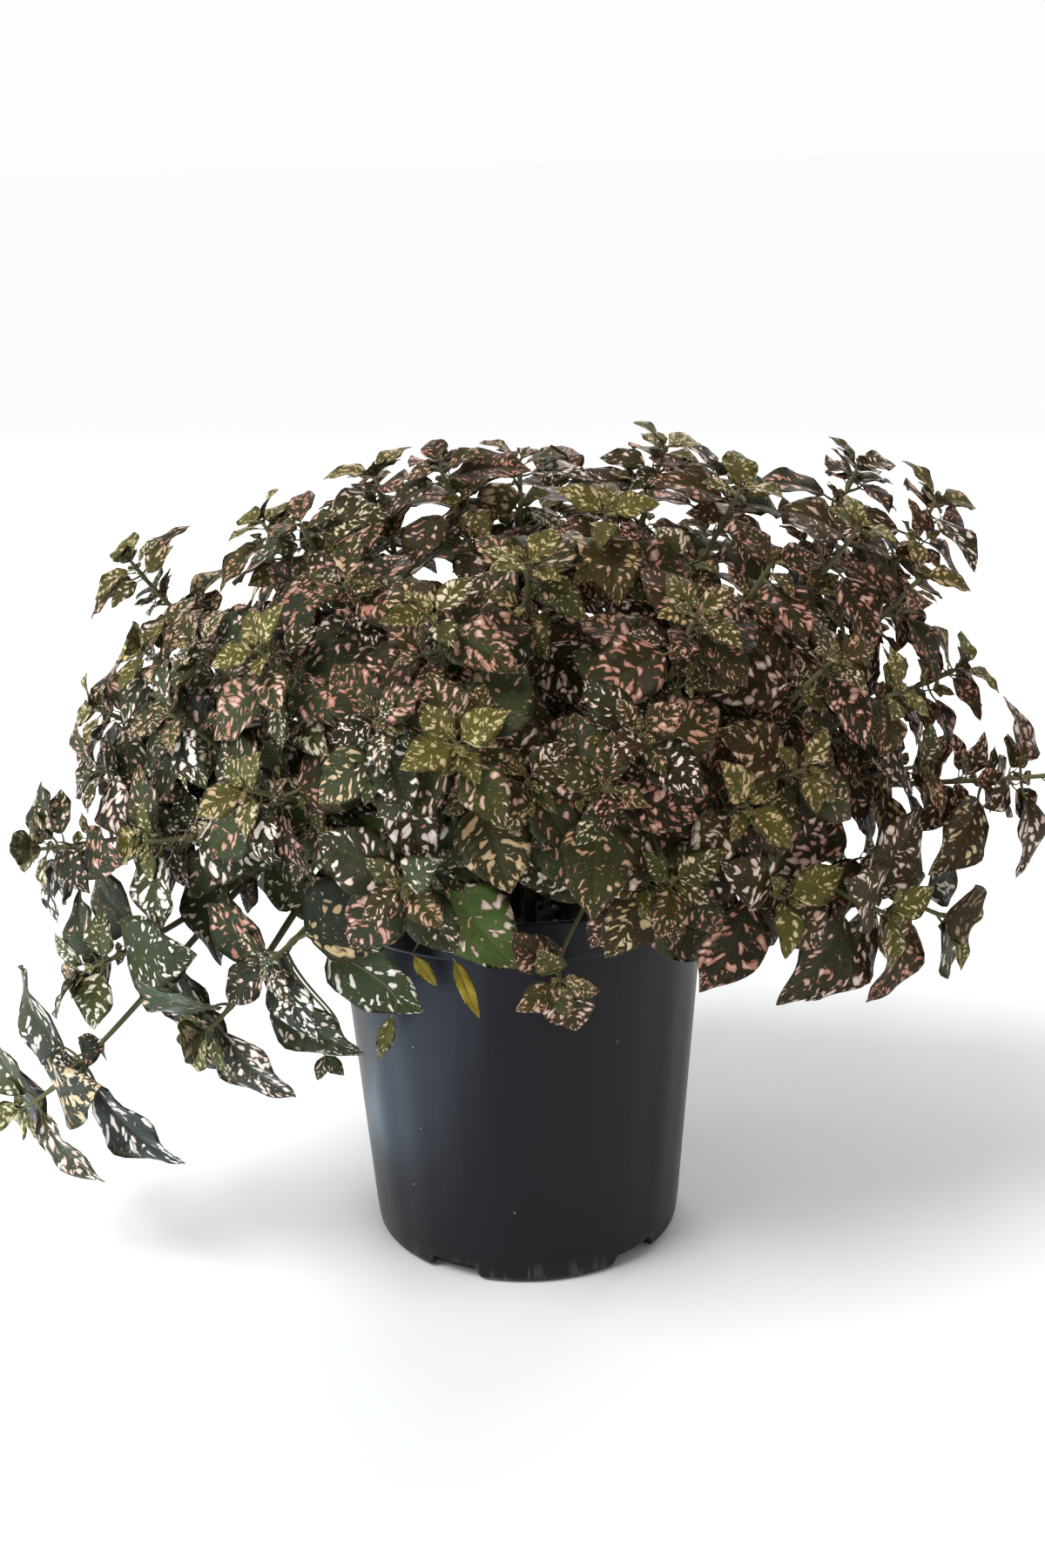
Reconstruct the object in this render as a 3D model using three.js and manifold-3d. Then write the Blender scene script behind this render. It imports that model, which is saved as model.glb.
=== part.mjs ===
// Potted polka dot plant: a bushy plant of spotted leaves in a black nursery pot.
// Millimetres, +Z up. The origin is under the middle of the pot, on the surface that it stands on.
// The front of the plant is towards -Y, and its right is towards +X.

import * as THREE from 'three';
import { mergeVertices } from 'three/addons/utils/BufferGeometryUtils.js';
import Module from 'manifold-3d';

const wasm = await Module();
wasm.setup();

// Pot
const potHeight = 170;
const rimRadius = 84;
const collarHeight = 17;
const collarFoot = potHeight - collarHeight;
const collarTaper = 1;
const collarLedge = 0.6;
const bodyTopRadius = 78.7;
const baseRadius = 66.5;
const baseRounding = 4;
const wall = 1.8;
const floorThickness = 2.5;
const lipRounding = 0.8;
const roundSides = 36;

// Drain notches round the foot of the pot
const notchCount = 5;
const firstNotchDegrees = -29;
const notchWidth = 27;
const notchTopWidth = 20;
const notchHeight = 7;
const notchDepth = 11;
const cutterOvershoot = 5;

// Soil, with rings of uneven height between its edge and its middle
const soilTop = 148;
const soilGap = 0.3;
const soilRelief = 2.2;
const soilRingShares = [0.86, 0.52];
const holeDepth = 28;
const holeClearance = 0.8;
const holeSides = 6;

// Stems. A tip at levelHeight is reached from the side, and the higher a tip the more from below.
const mainFootRadius = 2.5;
const sideFootRadius = 1.7;
const stemTipRadius = 0.9;
const riseOverRim = 72;
const extraRiseShare = 0.6;
const risePerReach = 0.4;
const arrivalPerReach = 0.36;
const levelHeight = 190;
const liftSpan = 130;
const leastLift = -0.5;
const mostLift = 1.1;
const firstFork = 0.22;
const forkSpacing = 0.12;
const forkTurn = 0.5;
const seatLength = 2;
const mainBareRings = 1;
const sideBareRings = 2;
const stalkPairs = 2;
const stalkLeafShare = 0.7;
const lengthSteps = 24;
const bushCentre = new THREE.Vector3(5, -5, 195);

// Leaves, from the youngest pair near a stem's tip to the oldest, with the stations of a blade's rings
const leafRanks = [
  { fromTip: 0, petiole: 3, length: 19, tilt: 42, spread: 0.25, stations: [0.45] },
  { fromTip: 6, petiole: 5, length: 30, tilt: 28, spread: 0.5, stations: [0.24, 0.64] },
  { fromTip: 16, petiole: 8, length: 36, tilt: 14, spread: 0.68, stations: [0.24, 0.64] },
  { fromTip: 31, petiole: 11, length: 41, tilt: 4, spread: 0.78, stations: [0.14, 0.42, 0.75] },
];
const leafWidthShare = 0.68;
const leafSizeSpread = 0.16;
const leafWidthSpread = 0.1;
const turnSpread = 16;
const tiltSpread = 14;

// Low leaves are older and larger: lowLeafGrowth is the gain at lowSpan below midHeight
const lowLeafGrowth = 0.34;
const midHeight = 230;
const lowSpan = 100;
const leastLowness = -0.1;

// A blade's form
const outlineSkew = 0.72;
const outlineRoundness = 0.9;
const leafBend = 0.62;
const leafFold = 0.16;
const leafWave = 0.045;
const waveTurn = 11;
const waveShift = 1.7;
const tipShortening = 0.12;
const leafSag = 0.3;
const lightTurn = 0.68;
const lightFrom = new THREE.Vector3(0, -1.1, 0.7);
const midribHalfThickness = 0.6;
const petioleHalfWidth = 0.75;

// How far leaves stay from each other and from the stems, and how closely that is looked at
const leafClearance = 2;
const stemClearance = 1.6;
const ownSeatReach = 5;
const stemSampleSpacing = 4;
const bladeSampleSpacing = 3.2;
const potPatchSides = 24;

// Where each leafy stem stands in the soil, and where the tips of its main stem and side branches are.
// A stalk is a short side branch that carries only the youngest leaves.
const leafyStems = [
  { name: 'stem_front', foot: [4, -50], tips: [[4, -136, 246], [-20, -150, 264], [32, -146, 246]] },
  {
    name: 'stem_front_left',
    foot: [-24, -46],
    tips: [[-42, -122, 202], [-48, -136, 268], [-28, -112, 300]],
  },
  {
    name: 'stem_front_right',
    foot: [32, -44],
    tips: [[56, -120, 200], [44, -138, 262], [66, -110, 298]],
    stalk: [14, -106, 156],
  },
  { name: 'stem_left_front', foot: [-44, -30], tips: [[-98, -92, 160], [-100, -98, 232], [-94, -84, 282]] },
  { name: 'stem_right_front', foot: [50, -26], tips: [[100, -98, 184], [106, -102, 236], [120, -80, 272]] },
  { name: 'stem_low_left', foot: [-58, -12], tips: [[-126, -74, 124], [-146, -62, 200], [-134, -56, 250]] },
  {
    name: 'stem_left_drooping',
    foot: [-58, 10],
    tips: [[-210, -42, 76], [-194, -34, 188], [-172, -18, 216], [-178, -50, 140]],
  },
  { name: 'stem_right_low', foot: [60, 8], tips: [[178, -30, 146], [226, -12, 202], [162, -34, 214]] },
  { name: 'stem_low_right', foot: [60, -14], tips: [[144, -72, 166], [150, -44, 248], [84, -112, 226]] },
  {
    name: 'stem_left',
    foot: [-40, 22],
    tips: [[-174, 2, 236], [-158, 20, 294], [-124, -42, 274], [-150, -12, 264]],
  },
  { name: 'stem_right', foot: [48, 22], tips: [[190, 22, 240], [180, 40, 308], [168, 4, 284]] },
  {
    name: 'stem_top_left',
    foot: [-20, 6],
    tips: [[-102, 16, 310], [-62, -76, 304], [-58, 56, 322], [-82, -30, 318]],
  },
  { name: 'stem_top', foot: [-2, -18], tips: [[6, -84, 312], [4, 18, 333], [-28, -8, 336]] },
  { name: 'stem_top_right', foot: [20, 2], tips: [[90, -22, 326], [64, 22, 336], [36, -66, 326]] },
  { name: 'stem_far_right', foot: [26, 24], tips: [[138, -14, 308], [150, 62, 319], [98, -60, 304]] },
  { name: 'stem_back_left', foot: [-34, 46], tips: [[-142, 92, 172], [-124, 108, 248], [-72, 124, 298]] },
  { name: 'stem_back', foot: [0, 54], tips: [[-34, 152, 166], [-6, 158, 250], [22, 112, 310]] },
  { name: 'stem_back_right', foot: [34, 48], tips: [[118, 118, 164], [112, 122, 244], [92, 84, 314]] },
];

const { clamp, degToRad, lerp } = THREE.MathUtils;

function vector(x, y, z) {
  return new THREE.Vector3(x, y, z);
}

function mix(from, to, share) {
  return from.clone().lerp(to, share);
}

function moved(point, direction, distance) {
  return point.clone().addScaledVector(direction, distance);
}

// A number from 0 to 1 that depends only on the whole numbers given
function draw(...keys) {
  let hash = 40503;
  for (const key of keys) {
    hash = Math.imul(hash ^ (key + 1013), 2654435761);
    hash ^= hash >>> 15;
  }
  hash = Math.imul(hash, 2246822519);
  return ((hash ^ (hash >>> 13)) >>> 8) / 16777216;
}

// Skins: rings of four or more points joined ring to ring, each ring anticlockwise seen from the next.
// A blade's even points are its edges, so that both of its faces are split alike.
function joinRings(faces, lower, upper, isOpen = () => false) {
  const count = lower.length;
  for (let side = 0; side < count; side++) {
    if (isOpen(side)) continue;
    const [a, b] = [lower[side], lower[(side + 1) % count]];
    const [c, d] = [upper[(side + 1) % count], upper[side]];
    if (side % 2 === 0) {
      faces.push([a, b, c], [a, c, d]);
    } else {
      faces.push([a, b, d], [b, c, d]);
    }
  }
}

function closeRing(faces, ring, end) {
  ring.forEach((corner, i) => faces.push([corner, ring[(i + 1) % ring.length], end]));
}

function addPoint(points, point) {
  return points.push(point) - 1;
}

function addRing(points, ring) {
  return ring.map((point) => addPoint(points, point));
}

function loft(rings, startPoint, endPoint) {
  const points = [];
  const faces = [];
  const corners = rings.map((ring) => addRing(points, ring));
  for (let i = 0; i + 1 < corners.length; i++) joinRings(faces, corners[i], corners[i + 1]);
  closeRing(faces, corners[0].slice().reverse(), addPoint(points, startPoint));
  closeRing(faces, corners.at(-1), addPoint(points, endPoint));
  return pointsToSolid(points, faces);
}

function signedVolume(points, faces) {
  return faces.reduce((sum, [a, b, c]) => sum + points[a].dot(points[b].clone().cross(points[c])), 0);
}

function pointsToSolid(points, faces) {
  const turned = signedVolume(points, faces) < 0;
  const vertProperties = new Float32Array(points.flatMap((p) => [p.x, p.y, p.z]));
  const triVerts = new Uint32Array(faces.flatMap(([a, b, c]) => (turned ? [a, c, b] : [a, b, c])));
  return new wasm.Manifold(new wasm.Mesh({ numProp: 3, vertProperties, triVerts }));
}

function geometryToSolid(source) {
  const geometry = source.clone();
  geometry.deleteAttribute('normal');
  geometry.deleteAttribute('uv');
  const merged = mergeVertices(geometry, 1e-4);
  const position = merged.getAttribute('position');
  const points = [];
  for (let i = 0; i < position.count; i++) {
    points.push(new THREE.Vector3().fromBufferAttribute(position, i));
  }
  const faces = [];
  for (let i = 0; i < merged.index.count; i += 3) {
    const [a, b, c] = [0, 1, 2].map((corner) => merged.index.getX(i + corner));
    if (a !== b && b !== c && c !== a) faces.push([a, b, c]);
  }
  return pointsToSolid(points, faces);
}

function solidToMesh(name, solid, material) {
  const { vertProperties, triVerts } = solid.getMesh();
  const geometry = new THREE.BufferGeometry();
  geometry.setAttribute('position', new THREE.BufferAttribute(vertProperties, 3));
  geometry.setIndex(new THREE.BufferAttribute(triVerts, 1));
  geometry.computeVertexNormals();
  const mesh = new THREE.Mesh(geometry, material);
  mesh.name = name;
  return mesh;
}

// Pot: a turned shell with a proud collar, and notches cut through the corner of its foot
function bodyRadius(z) {
  return lerp(baseRadius, bodyTopRadius, z / collarFoot);
}

// The inner wall runs straight from the floor to the foot of the collar
function innerRadius(z) {
  const share = (z - floorThickness) / (collarFoot + wall - floorThickness);
  return lerp(bodyRadius(floorThickness), bodyTopRadius, share) - wall;
}

function potSolid() {
  const corner = baseRounding * (1 - Math.SQRT1_2);
  const profile = [
    [0, 0],
    [baseRadius - baseRounding, 0],
    [baseRadius - corner, corner],
    [bodyRadius(baseRounding), baseRounding],
    [bodyTopRadius, collarFoot],
    [rimRadius - collarTaper, collarFoot + collarLedge],
    [rimRadius, potHeight - lipRounding],
    [rimRadius - lipRounding, potHeight],
    [rimRadius - wall, potHeight],
    [rimRadius - wall - collarTaper, collarFoot + wall + collarLedge],
    [bodyTopRadius - wall, collarFoot + wall],
    [innerRadius(floorThickness), floorThickness],
    [0, floorThickness],
  ].map(([r, z]) => new THREE.Vector2(r, z));
  const shell = new THREE.LatheGeometry(profile, roundSides).rotateX(Math.PI / 2);
  let solid = geometryToSolid(shell);
  for (let i = 0; i < notchCount; i++) {
    const turn = degToRad(firstNotchDegrees + i * 360 / notchCount);
    solid = solid.subtract(geometryToSolid(notchShape().rotateZ(turn)));
  }
  return solid;
}

function notchShape() {
  const shape = new THREE.Shape([
    new THREE.Vector2(-notchWidth / 2, -cutterOvershoot),
    new THREE.Vector2(notchWidth / 2, -cutterOvershoot),
    new THREE.Vector2(notchTopWidth / 2, notchHeight),
    new THREE.Vector2(-notchTopWidth / 2, notchHeight),
  ]);
  const depth = notchDepth + cutterOvershoot;
  const geometry = new THREE.ExtrudeGeometry(shape, { depth, bevelEnabled: false });
  return geometry.rotateX(Math.PI / 2).translate(0, notchDepth - baseRadius, 0);
}

// Soil: fills the pot, with a rough top and one plain hole for the foot of each stem
function soilSolid() {
  const circle = (radius, height) => Array.from({ length: roundSides }, (_, i) => {
    const angle = 2 * Math.PI * i / roundSides;
    return vector(radius * Math.sin(angle), radius * Math.cos(angle), height(i));
  });
  const bottom = floorThickness + soilGap;
  const edgeHeight = soilTop - soilRelief;
  const edge = innerRadius(edgeHeight) - soilGap;
  const rough = (row) => (i) => soilTop + soilRelief * (draw(row, i >> 1) - 0.5);
  const rings = [
    circle(innerRadius(bottom) - soilGap, () => bottom),
    circle(edge, () => edgeHeight),
    ...soilRingShares.map((share, i) => circle(edge * share, rough(i + 1))),
  ];
  let solid = loft(rings, vector(0, 0, bottom), vector(0, 0, soilTop));
  const radius = mainFootRadius + holeClearance;
  const height = holeDepth + 2 * soilRelief;
  for (const { foot } of leafyStems) {
    const hole = new THREE.CylinderGeometry(radius, radius, height, holeSides).rotateX(Math.PI / 2);
    hole.translate(foot[0], foot[1], soilTop - holeDepth + height / 2);
    solid = solid.subtract(geometryToSolid(hole));
  }
  return solid;
}

// Branches: cubic curves that leave the soil upright, or their main stem along its run, and arch outwards
function arrivalDirection(tip) {
  const outwards = vector(tip.x - bushCentre.x, tip.y - bushCentre.y, 0).normalize();
  const lift = clamp((tip.z - levelHeight) / liftSpan, leastLift, mostLift);
  return outwards.multiplyScalar(1 - 0.5 * Math.max(lift, 0)).add(vector(0, 0, lift)).normalize();
}

function makeBranch(start, departure, tip, footRadius, leastRise = 0) {
  const reach = start.distanceTo(tip);
  const rise = Math.max(reach * risePerReach, leastRise);
  const curve = new THREE.CubicBezierCurve3(
    start,
    moved(start, departure, rise),
    moved(tip, arrivalDirection(tip), -reach * arrivalPerReach),
    tip,
  );
  const planeNormal = departure.clone().cross(tip.clone().sub(start)).normalize();
  const length = curve.getLengths(lengthSteps).at(-1);
  return { curve, planeNormal, length, footRadius, forks: [], pairLimit: leafRanks.length, leafShare: 1 };
}

function growBranches({ foot, tips, stalk }) {
  const [mainTip, ...sideTips] = tips.map((tip) => vector(...tip));
  const rise = riseOverRim + extraRiseShare * Math.max(0, soilTop - mainTip.z);
  const main = makeBranch(vector(...foot, soilTop), vector(0, 0, 1), mainTip, mainFootRadius, rise);
  const sides = sideTips.map((tip, i) => sideBranch(main, i, tip));
  if (!stalk) return [main, ...sides];
  const stalkBranch = sideBranch(main, sides.length, vector(...stalk));
  return [main, ...sides, { ...stalkBranch, pairLimit: stalkPairs, leafShare: stalkLeafShare }];
}

function sideBranch(main, place, tip) {
  const fork = firstFork + forkSpacing * place;
  main.forks.push(fork);
  const { point, tangent } = branchFrame(main, fork);
  const departure = mix(tangent, tip.clone().sub(point).normalize(), forkTurn).normalize();
  return makeBranch(point, departure, tip, sideFootRadius);
}

// The point of a branch at a share of its run, with its direction and the two directions across it
function branchFrame(branch, share) {
  const point = branch.curve.getPoint(share);
  const tangent = branch.curve.getTangent(share);
  const across = branch.planeNormal.clone();
  across.addScaledVector(tangent, -across.dot(tangent)).normalize();
  const over = tangent.clone().cross(across);
  return { point, tangent, across, over };
}

function branchRadius(branch, share) {
  return lerp(branch.footRadius, stemTipRadius, share);
}

function stemRing(branch, share) {
  const { point, across, over } = branchFrame(branch, share);
  const radius = branchRadius(branch, share);
  return [
    moved(point, across, radius),
    moved(point, over, radius),
    moved(point, across, -radius),
    moved(point, over, -radius),
  ];
}

// A stem is skinned from its foot to its tip. At the seat of each pair of leaves a short stretch has
// two opposite sides left open, and the leaves grow out of them. A main stem starts deep in its hole,
// and has a ring at each fork.
function branchSolid(branch, pairs, isMain) {
  const points = [];
  const faces = [];
  const ringAt = (share) => addRing(points, stemRing(branch, share));
  const foot = branch.curve.getPoint(0);
  let below = ringAt(0);
  if (isMain) {
    const sink = vector(0, 0, soilGap - holeDepth);
    foot.add(sink);
    const buried = addRing(points, stemRing(branch, 0).map((point) => point.add(sink)));
    joinRings(faces, buried, below);
    closeRing(faces, buried.slice().reverse(), addPoint(points, foot));
  } else {
    closeRing(faces, below.slice().reverse(), addPoint(points, foot));
  }
  const climbTo = (share, leaves = {}) => {
    const above = ringAt(share);
    joinRings(faces, below, above, (side) => side in leaves);
    for (const [side, leaf] of Object.entries(leaves)) {
      growLeaf(points, faces, seatCorners(below, above, Number(side)), leaf);
    }
    below = above;
  };
  const oldestShare = pairs.length ? pairs.at(-1).share : 1;
  const lastFork = branch.forks.at(-1) ?? 0;
  const bareRings = isMain ? mainBareRings : sideBareRings;
  branch.forks.forEach((fork) => climbTo(fork));
  for (let i = 1; i <= bareRings; i++) climbTo(lerp(lastFork, oldestShare, i / (bareRings + 1)));
  const half = seatLength / 2 / branch.length;
  for (const { share, leaves } of pairs.slice().reverse()) {
    const top = Math.min(share + half, 1 - half);
    climbTo(top - 2 * half);
    climbTo(top, leaves);
  }
  closeRing(faces, below, addPoint(points, branch.curve.getPoint(1)));
  return pointsToSolid(points, faces);
}

function seatCorners(below, above, side) {
  const next = (side + 1) % 4;
  return [below[side], below[next], above[next], above[side]];
}

// A leaf grows out of four corners on its stem: a petiole, then the blade to its tip
function growLeaf(points, faces, seat, leaf) {
  const rings = leaf.stations.map((s) => bladeRing(leaf, s));
  if (rings.length > 1) rings.unshift(petioleRing(leaf));
  const order = leastTwistedOrder(rings[0], seat.map((corner) => points[corner]));
  const [first, ...others] = rings.map((ring) => addRing(points, ring));
  joinRings(faces, seat, order.map((k) => first[k]));
  let below = first;
  for (const ring of others) {
    joinRings(faces, below, ring);
    below = ring;
  }
  closeRing(faces, below, addPoint(points, bladePoint(leaf, 1, 0)));
}

// The order of a ring's corners that twists least from the seat below it
function leastTwistedOrder(ring, seat) {
  const orders = [0, 1, 2, 3].map((shift) => [0, 1, 2, 3].map((i) => (i + shift) % 4));
  const seatMiddle = centroid(seat);
  const ringMiddle = centroid(ring);
  const match = (order) => order.reduce((sum, k, i) => {
    const from = seat[i].clone().sub(seatMiddle).normalize();
    return sum + from.dot(ring[k].clone().sub(ringMiddle).normalize());
  }, 0);
  return orders.reduce((best, order) => (match(order) > match(best) ? order : best));
}

function centroid(points) {
  return points.reduce((sum, point) => sum.add(point), vector(0, 0, 0)).divideScalar(points.length);
}

// Leaves: how far a blade reaches to each side of its midrib, as a share of its widest
function outlineShare(s) {
  return Math.pow(Math.sin(Math.PI * Math.pow(s, outlineSkew)), outlineRoundness);
}

// The middle surface of a blade: s runs from its base to its tip, and side from -1 to 1 across it
function bladePoint(leaf, s, side) {
  const { root, along, up, petiole, length, width, phase } = leaf;
  const across = along.clone().cross(up);
  const point = moved(root, along, petiole + length * s * (1 - tipShortening * s));
  point.addScaledVector(up, -0.5 * leafBend * length * s * s);
  const reach = width * outlineShare(s) * side;
  const wave = leafWave * length * Math.sin(waveTurn * s + phase + waveShift * side) * Math.sin(Math.PI * s);
  point.addScaledVector(across, reach);
  return point.addScaledVector(up, leafFold * Math.abs(reach) + wave * Math.abs(side));
}

function bladeRing(leaf, s) {
  const normal = moved(leaf.up, leaf.along, leafBend * s).normalize();
  const middle = bladePoint(leaf, s, 0);
  return [
    bladePoint(leaf, s, -1),
    moved(middle, normal, midribHalfThickness),
    bladePoint(leaf, s, 1),
    moved(middle, normal, -midribHalfThickness),
  ];
}

function petioleRing(leaf) {
  const across = leaf.along.clone().cross(leaf.up);
  const middle = moved(leaf.root, leaf.along, leaf.petiole);
  return [
    moved(middle, across, -petioleHalfWidth),
    moved(middle, leaf.up, midribHalfThickness),
    moved(middle, across, petioleHalfWidth),
    moved(middle, leaf.up, -midribHalfThickness),
  ];
}

// What a leaf has to stay clear of: points of stems and triangles of blades and of the pot
function stemPoints(branch) {
  const count = Math.ceil(branch.length / stemSampleSpacing);
  return Array.from({ length: count + 1 }, (_, i) => {
    const share = i / count;
    return { branch, share, point: branch.curve.getPoint(share), radius: branchRadius(branch, share) };
  });
}

function patch(rows) {
  const triangles = [];
  for (let i = 0; i + 1 < rows.length; i++) {
    for (let j = 0; j + 1 < rows[i].length; j++) {
      triangles.push(new THREE.Triangle(rows[i][j], rows[i][j + 1], rows[i + 1][j + 1]));
      triangles.push(new THREE.Triangle(rows[i][j], rows[i + 1][j + 1], rows[i + 1][j]));
    }
  }
  const box = new THREE.Box3();
  for (const { a, b, c } of triangles) box.expandByPoint(a).expandByPoint(b).expandByPoint(c);
  return { triangles, box: box.expandByScalar(leafClearance) };
}

function leafPatch(leaf) {
  const shares = [0, ...leaf.stations, 1];
  return patch(shares.map((s) => [-1, 0, 1].map((side) => bladePoint(leaf, s, side))));
}

function potPatch() {
  const circle = (radius, z) => Array.from({ length: potPatchSides + 1 }, (_, i) => {
    const angle = 2 * Math.PI * i / potPatchSides;
    return vector(radius * Math.cos(angle), radius * Math.sin(angle), z);
  });
  const soilCrest = soilTop + soilRelief;
  return patch([
    circle(baseRadius, 0),
    circle(bodyTopRadius, collarFoot),
    circle(rimRadius, potHeight),
    circle(rimRadius - wall, potHeight),
    circle(innerRadius(soilCrest), soilCrest),
    circle(0, soilCrest),
  ]);
}

function leafSamples(leaf) {
  const points = [];
  const rows = Math.ceil(leaf.length / bladeSampleSpacing);
  const columns = Math.ceil(leaf.width * 2 / bladeSampleSpacing);
  for (let i = 0; i <= rows; i++) {
    for (let j = 0; j <= columns; j++) points.push(bladePoint(leaf, i / rows, 2 * j / columns - 1));
  }
  return points;
}

function distanceTo(triangle, point) {
  return triangle.closestPointToPoint(point, vector(0, 0, 0)).distanceTo(point);
}

function isClear(leaf, obstacles, stems) {
  const samples = leafSamples(leaf);
  for (const { triangles, box } of obstacles) {
    const near = samples.filter((point) => box.containsPoint(point));
    if (near.some((point) => triangles.some((each) => distanceTo(each, point) < leafClearance))) return false;
  }
  const own = leafPatch(leaf);
  own.box.expandByScalar(mainFootRadius);
  return stems.every(({ branch, share, point, radius }) => {
    const isOwnSeat = branch === leaf.branch && Math.abs(share - leaf.share) * branch.length < ownSeatReach;
    if (isOwnSeat || !own.box.containsPoint(point)) return true;
    return own.triangles.every((each) => distanceTo(each, point) >= radius + stemClearance);
  });
}

// The ways a leaf may be turned and sized, the plainest first
const leafTries = [1, 0.84, 0.68].flatMap((size) => [
  { size, yaw: 0, pitch: 0 },
  { size, yaw: 16, pitch: 0 },
  { size, yaw: -16, pitch: 0 },
  { size, yaw: 0, pitch: 18 },
  { size, yaw: 0, pitch: -18 },
  { size, yaw: 30, pitch: 12 },
  { size, yaw: -30, pitch: 12 },
  { size, yaw: 26, pitch: -16 },
  { size, yaw: -26, pitch: -16 },
]);

// A leaf leaves its stem on one of its four sides, leans along it, and turns its upper face to the light
function makeLeaf(branch, branchNumber, rank, side, attempt) {
  const form = leafRanks[rank];
  const share = 1 - form.fromTip / branch.length;
  const { point, tangent, across, over } = branchFrame(branch, share);
  const swing = (item) => 2 * draw(branchNumber, rank, side, item) - 1;
  const stemSide = (rank + 2 * side) % 4;
  const turn = degToRad(45 + 90 * stemSide + turnSpread / 2 * swing(1) + attempt.yaw);
  const tilt = degToRad(form.tilt + tiltSpread / 2 * swing(2) + attempt.pitch);
  const outwards = across.multiplyScalar(Math.cos(turn)).addScaledVector(over, Math.sin(turn));
  const along = outwards.multiplyScalar(Math.cos(tilt)).addScaledVector(tangent, Math.sin(tilt));
  const light = point.clone().sub(bushCentre).normalize().add(lightFrom).normalize();
  along.addScaledVector(light, -along.dot(light) * form.spread);
  along.z -= leafSag * form.spread;
  along.normalize();
  const up = mix(tangent, light, lightTurn);
  up.addScaledVector(along, -up.dot(along)).normalize();
  const lowness = clamp((midHeight - point.z) / lowSpan, leastLowness, 1);
  const size = attempt.size * branch.leafShare * (1 + leafSizeSpread * swing(3));
  const length = form.length * size * (1 + lowLeafGrowth * lowness);
  return {
    branch,
    share,
    stemSide,
    root: point,
    along,
    up,
    petiole: form.petiole * attempt.size,
    length,
    width: length * leafWidthShare / 2 * (1 + leafWidthSpread * swing(4)),
    phase: Math.PI * (1 + swing(5)),
    stations: form.stations,
  };
}

// Leaves are hung rank by rank over the whole bush, the youngest first, and one without room is left out
function hangLeaves(branches) {
  const obstacles = [potPatch()];
  const stems = branches.flatMap(stemPoints);
  const pairs = new Map(branches.map((branch) => [branch, []]));
  for (let rank = 0; rank < leafRanks.length; rank++) {
    branches.forEach((branch, branchNumber) => {
      if (rank >= branch.pairLimit) return;
      const placed = [];
      for (const side of [0, 1]) {
        const tries = leafTries.map((attempt) => makeLeaf(branch, branchNumber, rank, side, attempt));
        const leaf = tries.find((candidate) => isClear(candidate, obstacles, stems));
        if (leaf) placed.push(leaf);
      }
      if (!placed.length) return;
      obstacles.push(...placed.map(leafPatch));
      const leaves = Object.fromEntries(placed.map((leaf) => [leaf.stemSide, leaf]));
      pairs.get(branch).push({ share: placed[0].share, leaves });
    });
  }
  return pairs;
}

// Assembly
const plant = new THREE.Group();
const potPlastic = new THREE.MeshStandardMaterial({ color: 0x17181a, roughness: 0.42, metalness: 0 });
const soilMix = new THREE.MeshStandardMaterial({ color: 0x2b2019, roughness: 0.95, metalness: 0 });
plant.add(solidToMesh('pot', potSolid(), potPlastic));
plant.add(solidToMesh('soil', soilSolid(), soilMix));

const grown = leafyStems.map(growBranches);
const pairs = hangLeaves(grown.flat());
leafyStems.forEach(({ name }, i) => {
  const solids = grown[i].map((branch, k) => branchSolid(branch, pairs.get(branch), k === 0));
  const foliage = new THREE.MeshStandardMaterial({ color: 0x6b6a4a, roughness: 0.6, metalness: 0 });
  plant.add(solidToMesh(name, solids.reduce((whole, solid) => whole.add(solid)), foliage));
});

export default plant;
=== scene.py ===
# Looks of a potted polka dot plant: its spotted leaves and stems, its soil and its nursery pot
# The plant's front is towards -Y and its right towards +X
# Lengths are in millimetres until a mesh is made
import math

import bmesh
import bpy
import numpy as np
from mathutils import Matrix, Vector


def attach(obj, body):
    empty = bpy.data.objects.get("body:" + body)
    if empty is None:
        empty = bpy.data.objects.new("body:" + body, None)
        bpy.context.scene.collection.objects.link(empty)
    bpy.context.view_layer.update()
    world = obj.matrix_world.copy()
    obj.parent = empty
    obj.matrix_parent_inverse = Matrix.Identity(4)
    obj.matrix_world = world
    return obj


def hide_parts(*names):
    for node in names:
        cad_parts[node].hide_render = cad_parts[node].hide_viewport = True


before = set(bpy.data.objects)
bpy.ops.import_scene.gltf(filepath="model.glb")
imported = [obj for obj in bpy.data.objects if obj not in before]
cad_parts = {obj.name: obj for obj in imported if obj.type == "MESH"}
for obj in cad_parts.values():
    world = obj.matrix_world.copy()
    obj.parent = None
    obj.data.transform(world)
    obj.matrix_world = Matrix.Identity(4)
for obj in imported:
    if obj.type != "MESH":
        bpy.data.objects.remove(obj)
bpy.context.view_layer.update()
metre = 0.001    # metres in a millimetre
print("frame loaded:", len(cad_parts), "solids")

photoView = {
    "eye": (2.1, -834.8, 474.4),
    "target": (2.1, 0.0, 199.5),
    "rollDegrees": -1.419,
    "focalPixels": 2399,
    "framePixels": 1800,    # the frame's long side
    "sensor": 36,
}


def unit(vector):
    return vector / np.linalg.norm(vector, axis=-1, keepdims=True)


def squareTo(axis, vector):
    return unit(vector - axis * vector.dot(axis))


def circle(count):
    return np.linspace(0, 2 * np.pi, count, endpoint=False)


def addObject(name, data):
    made = bpy.data.objects.new(name, data)
    bpy.context.scene.collection.objects.link(made)
    return made


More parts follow.
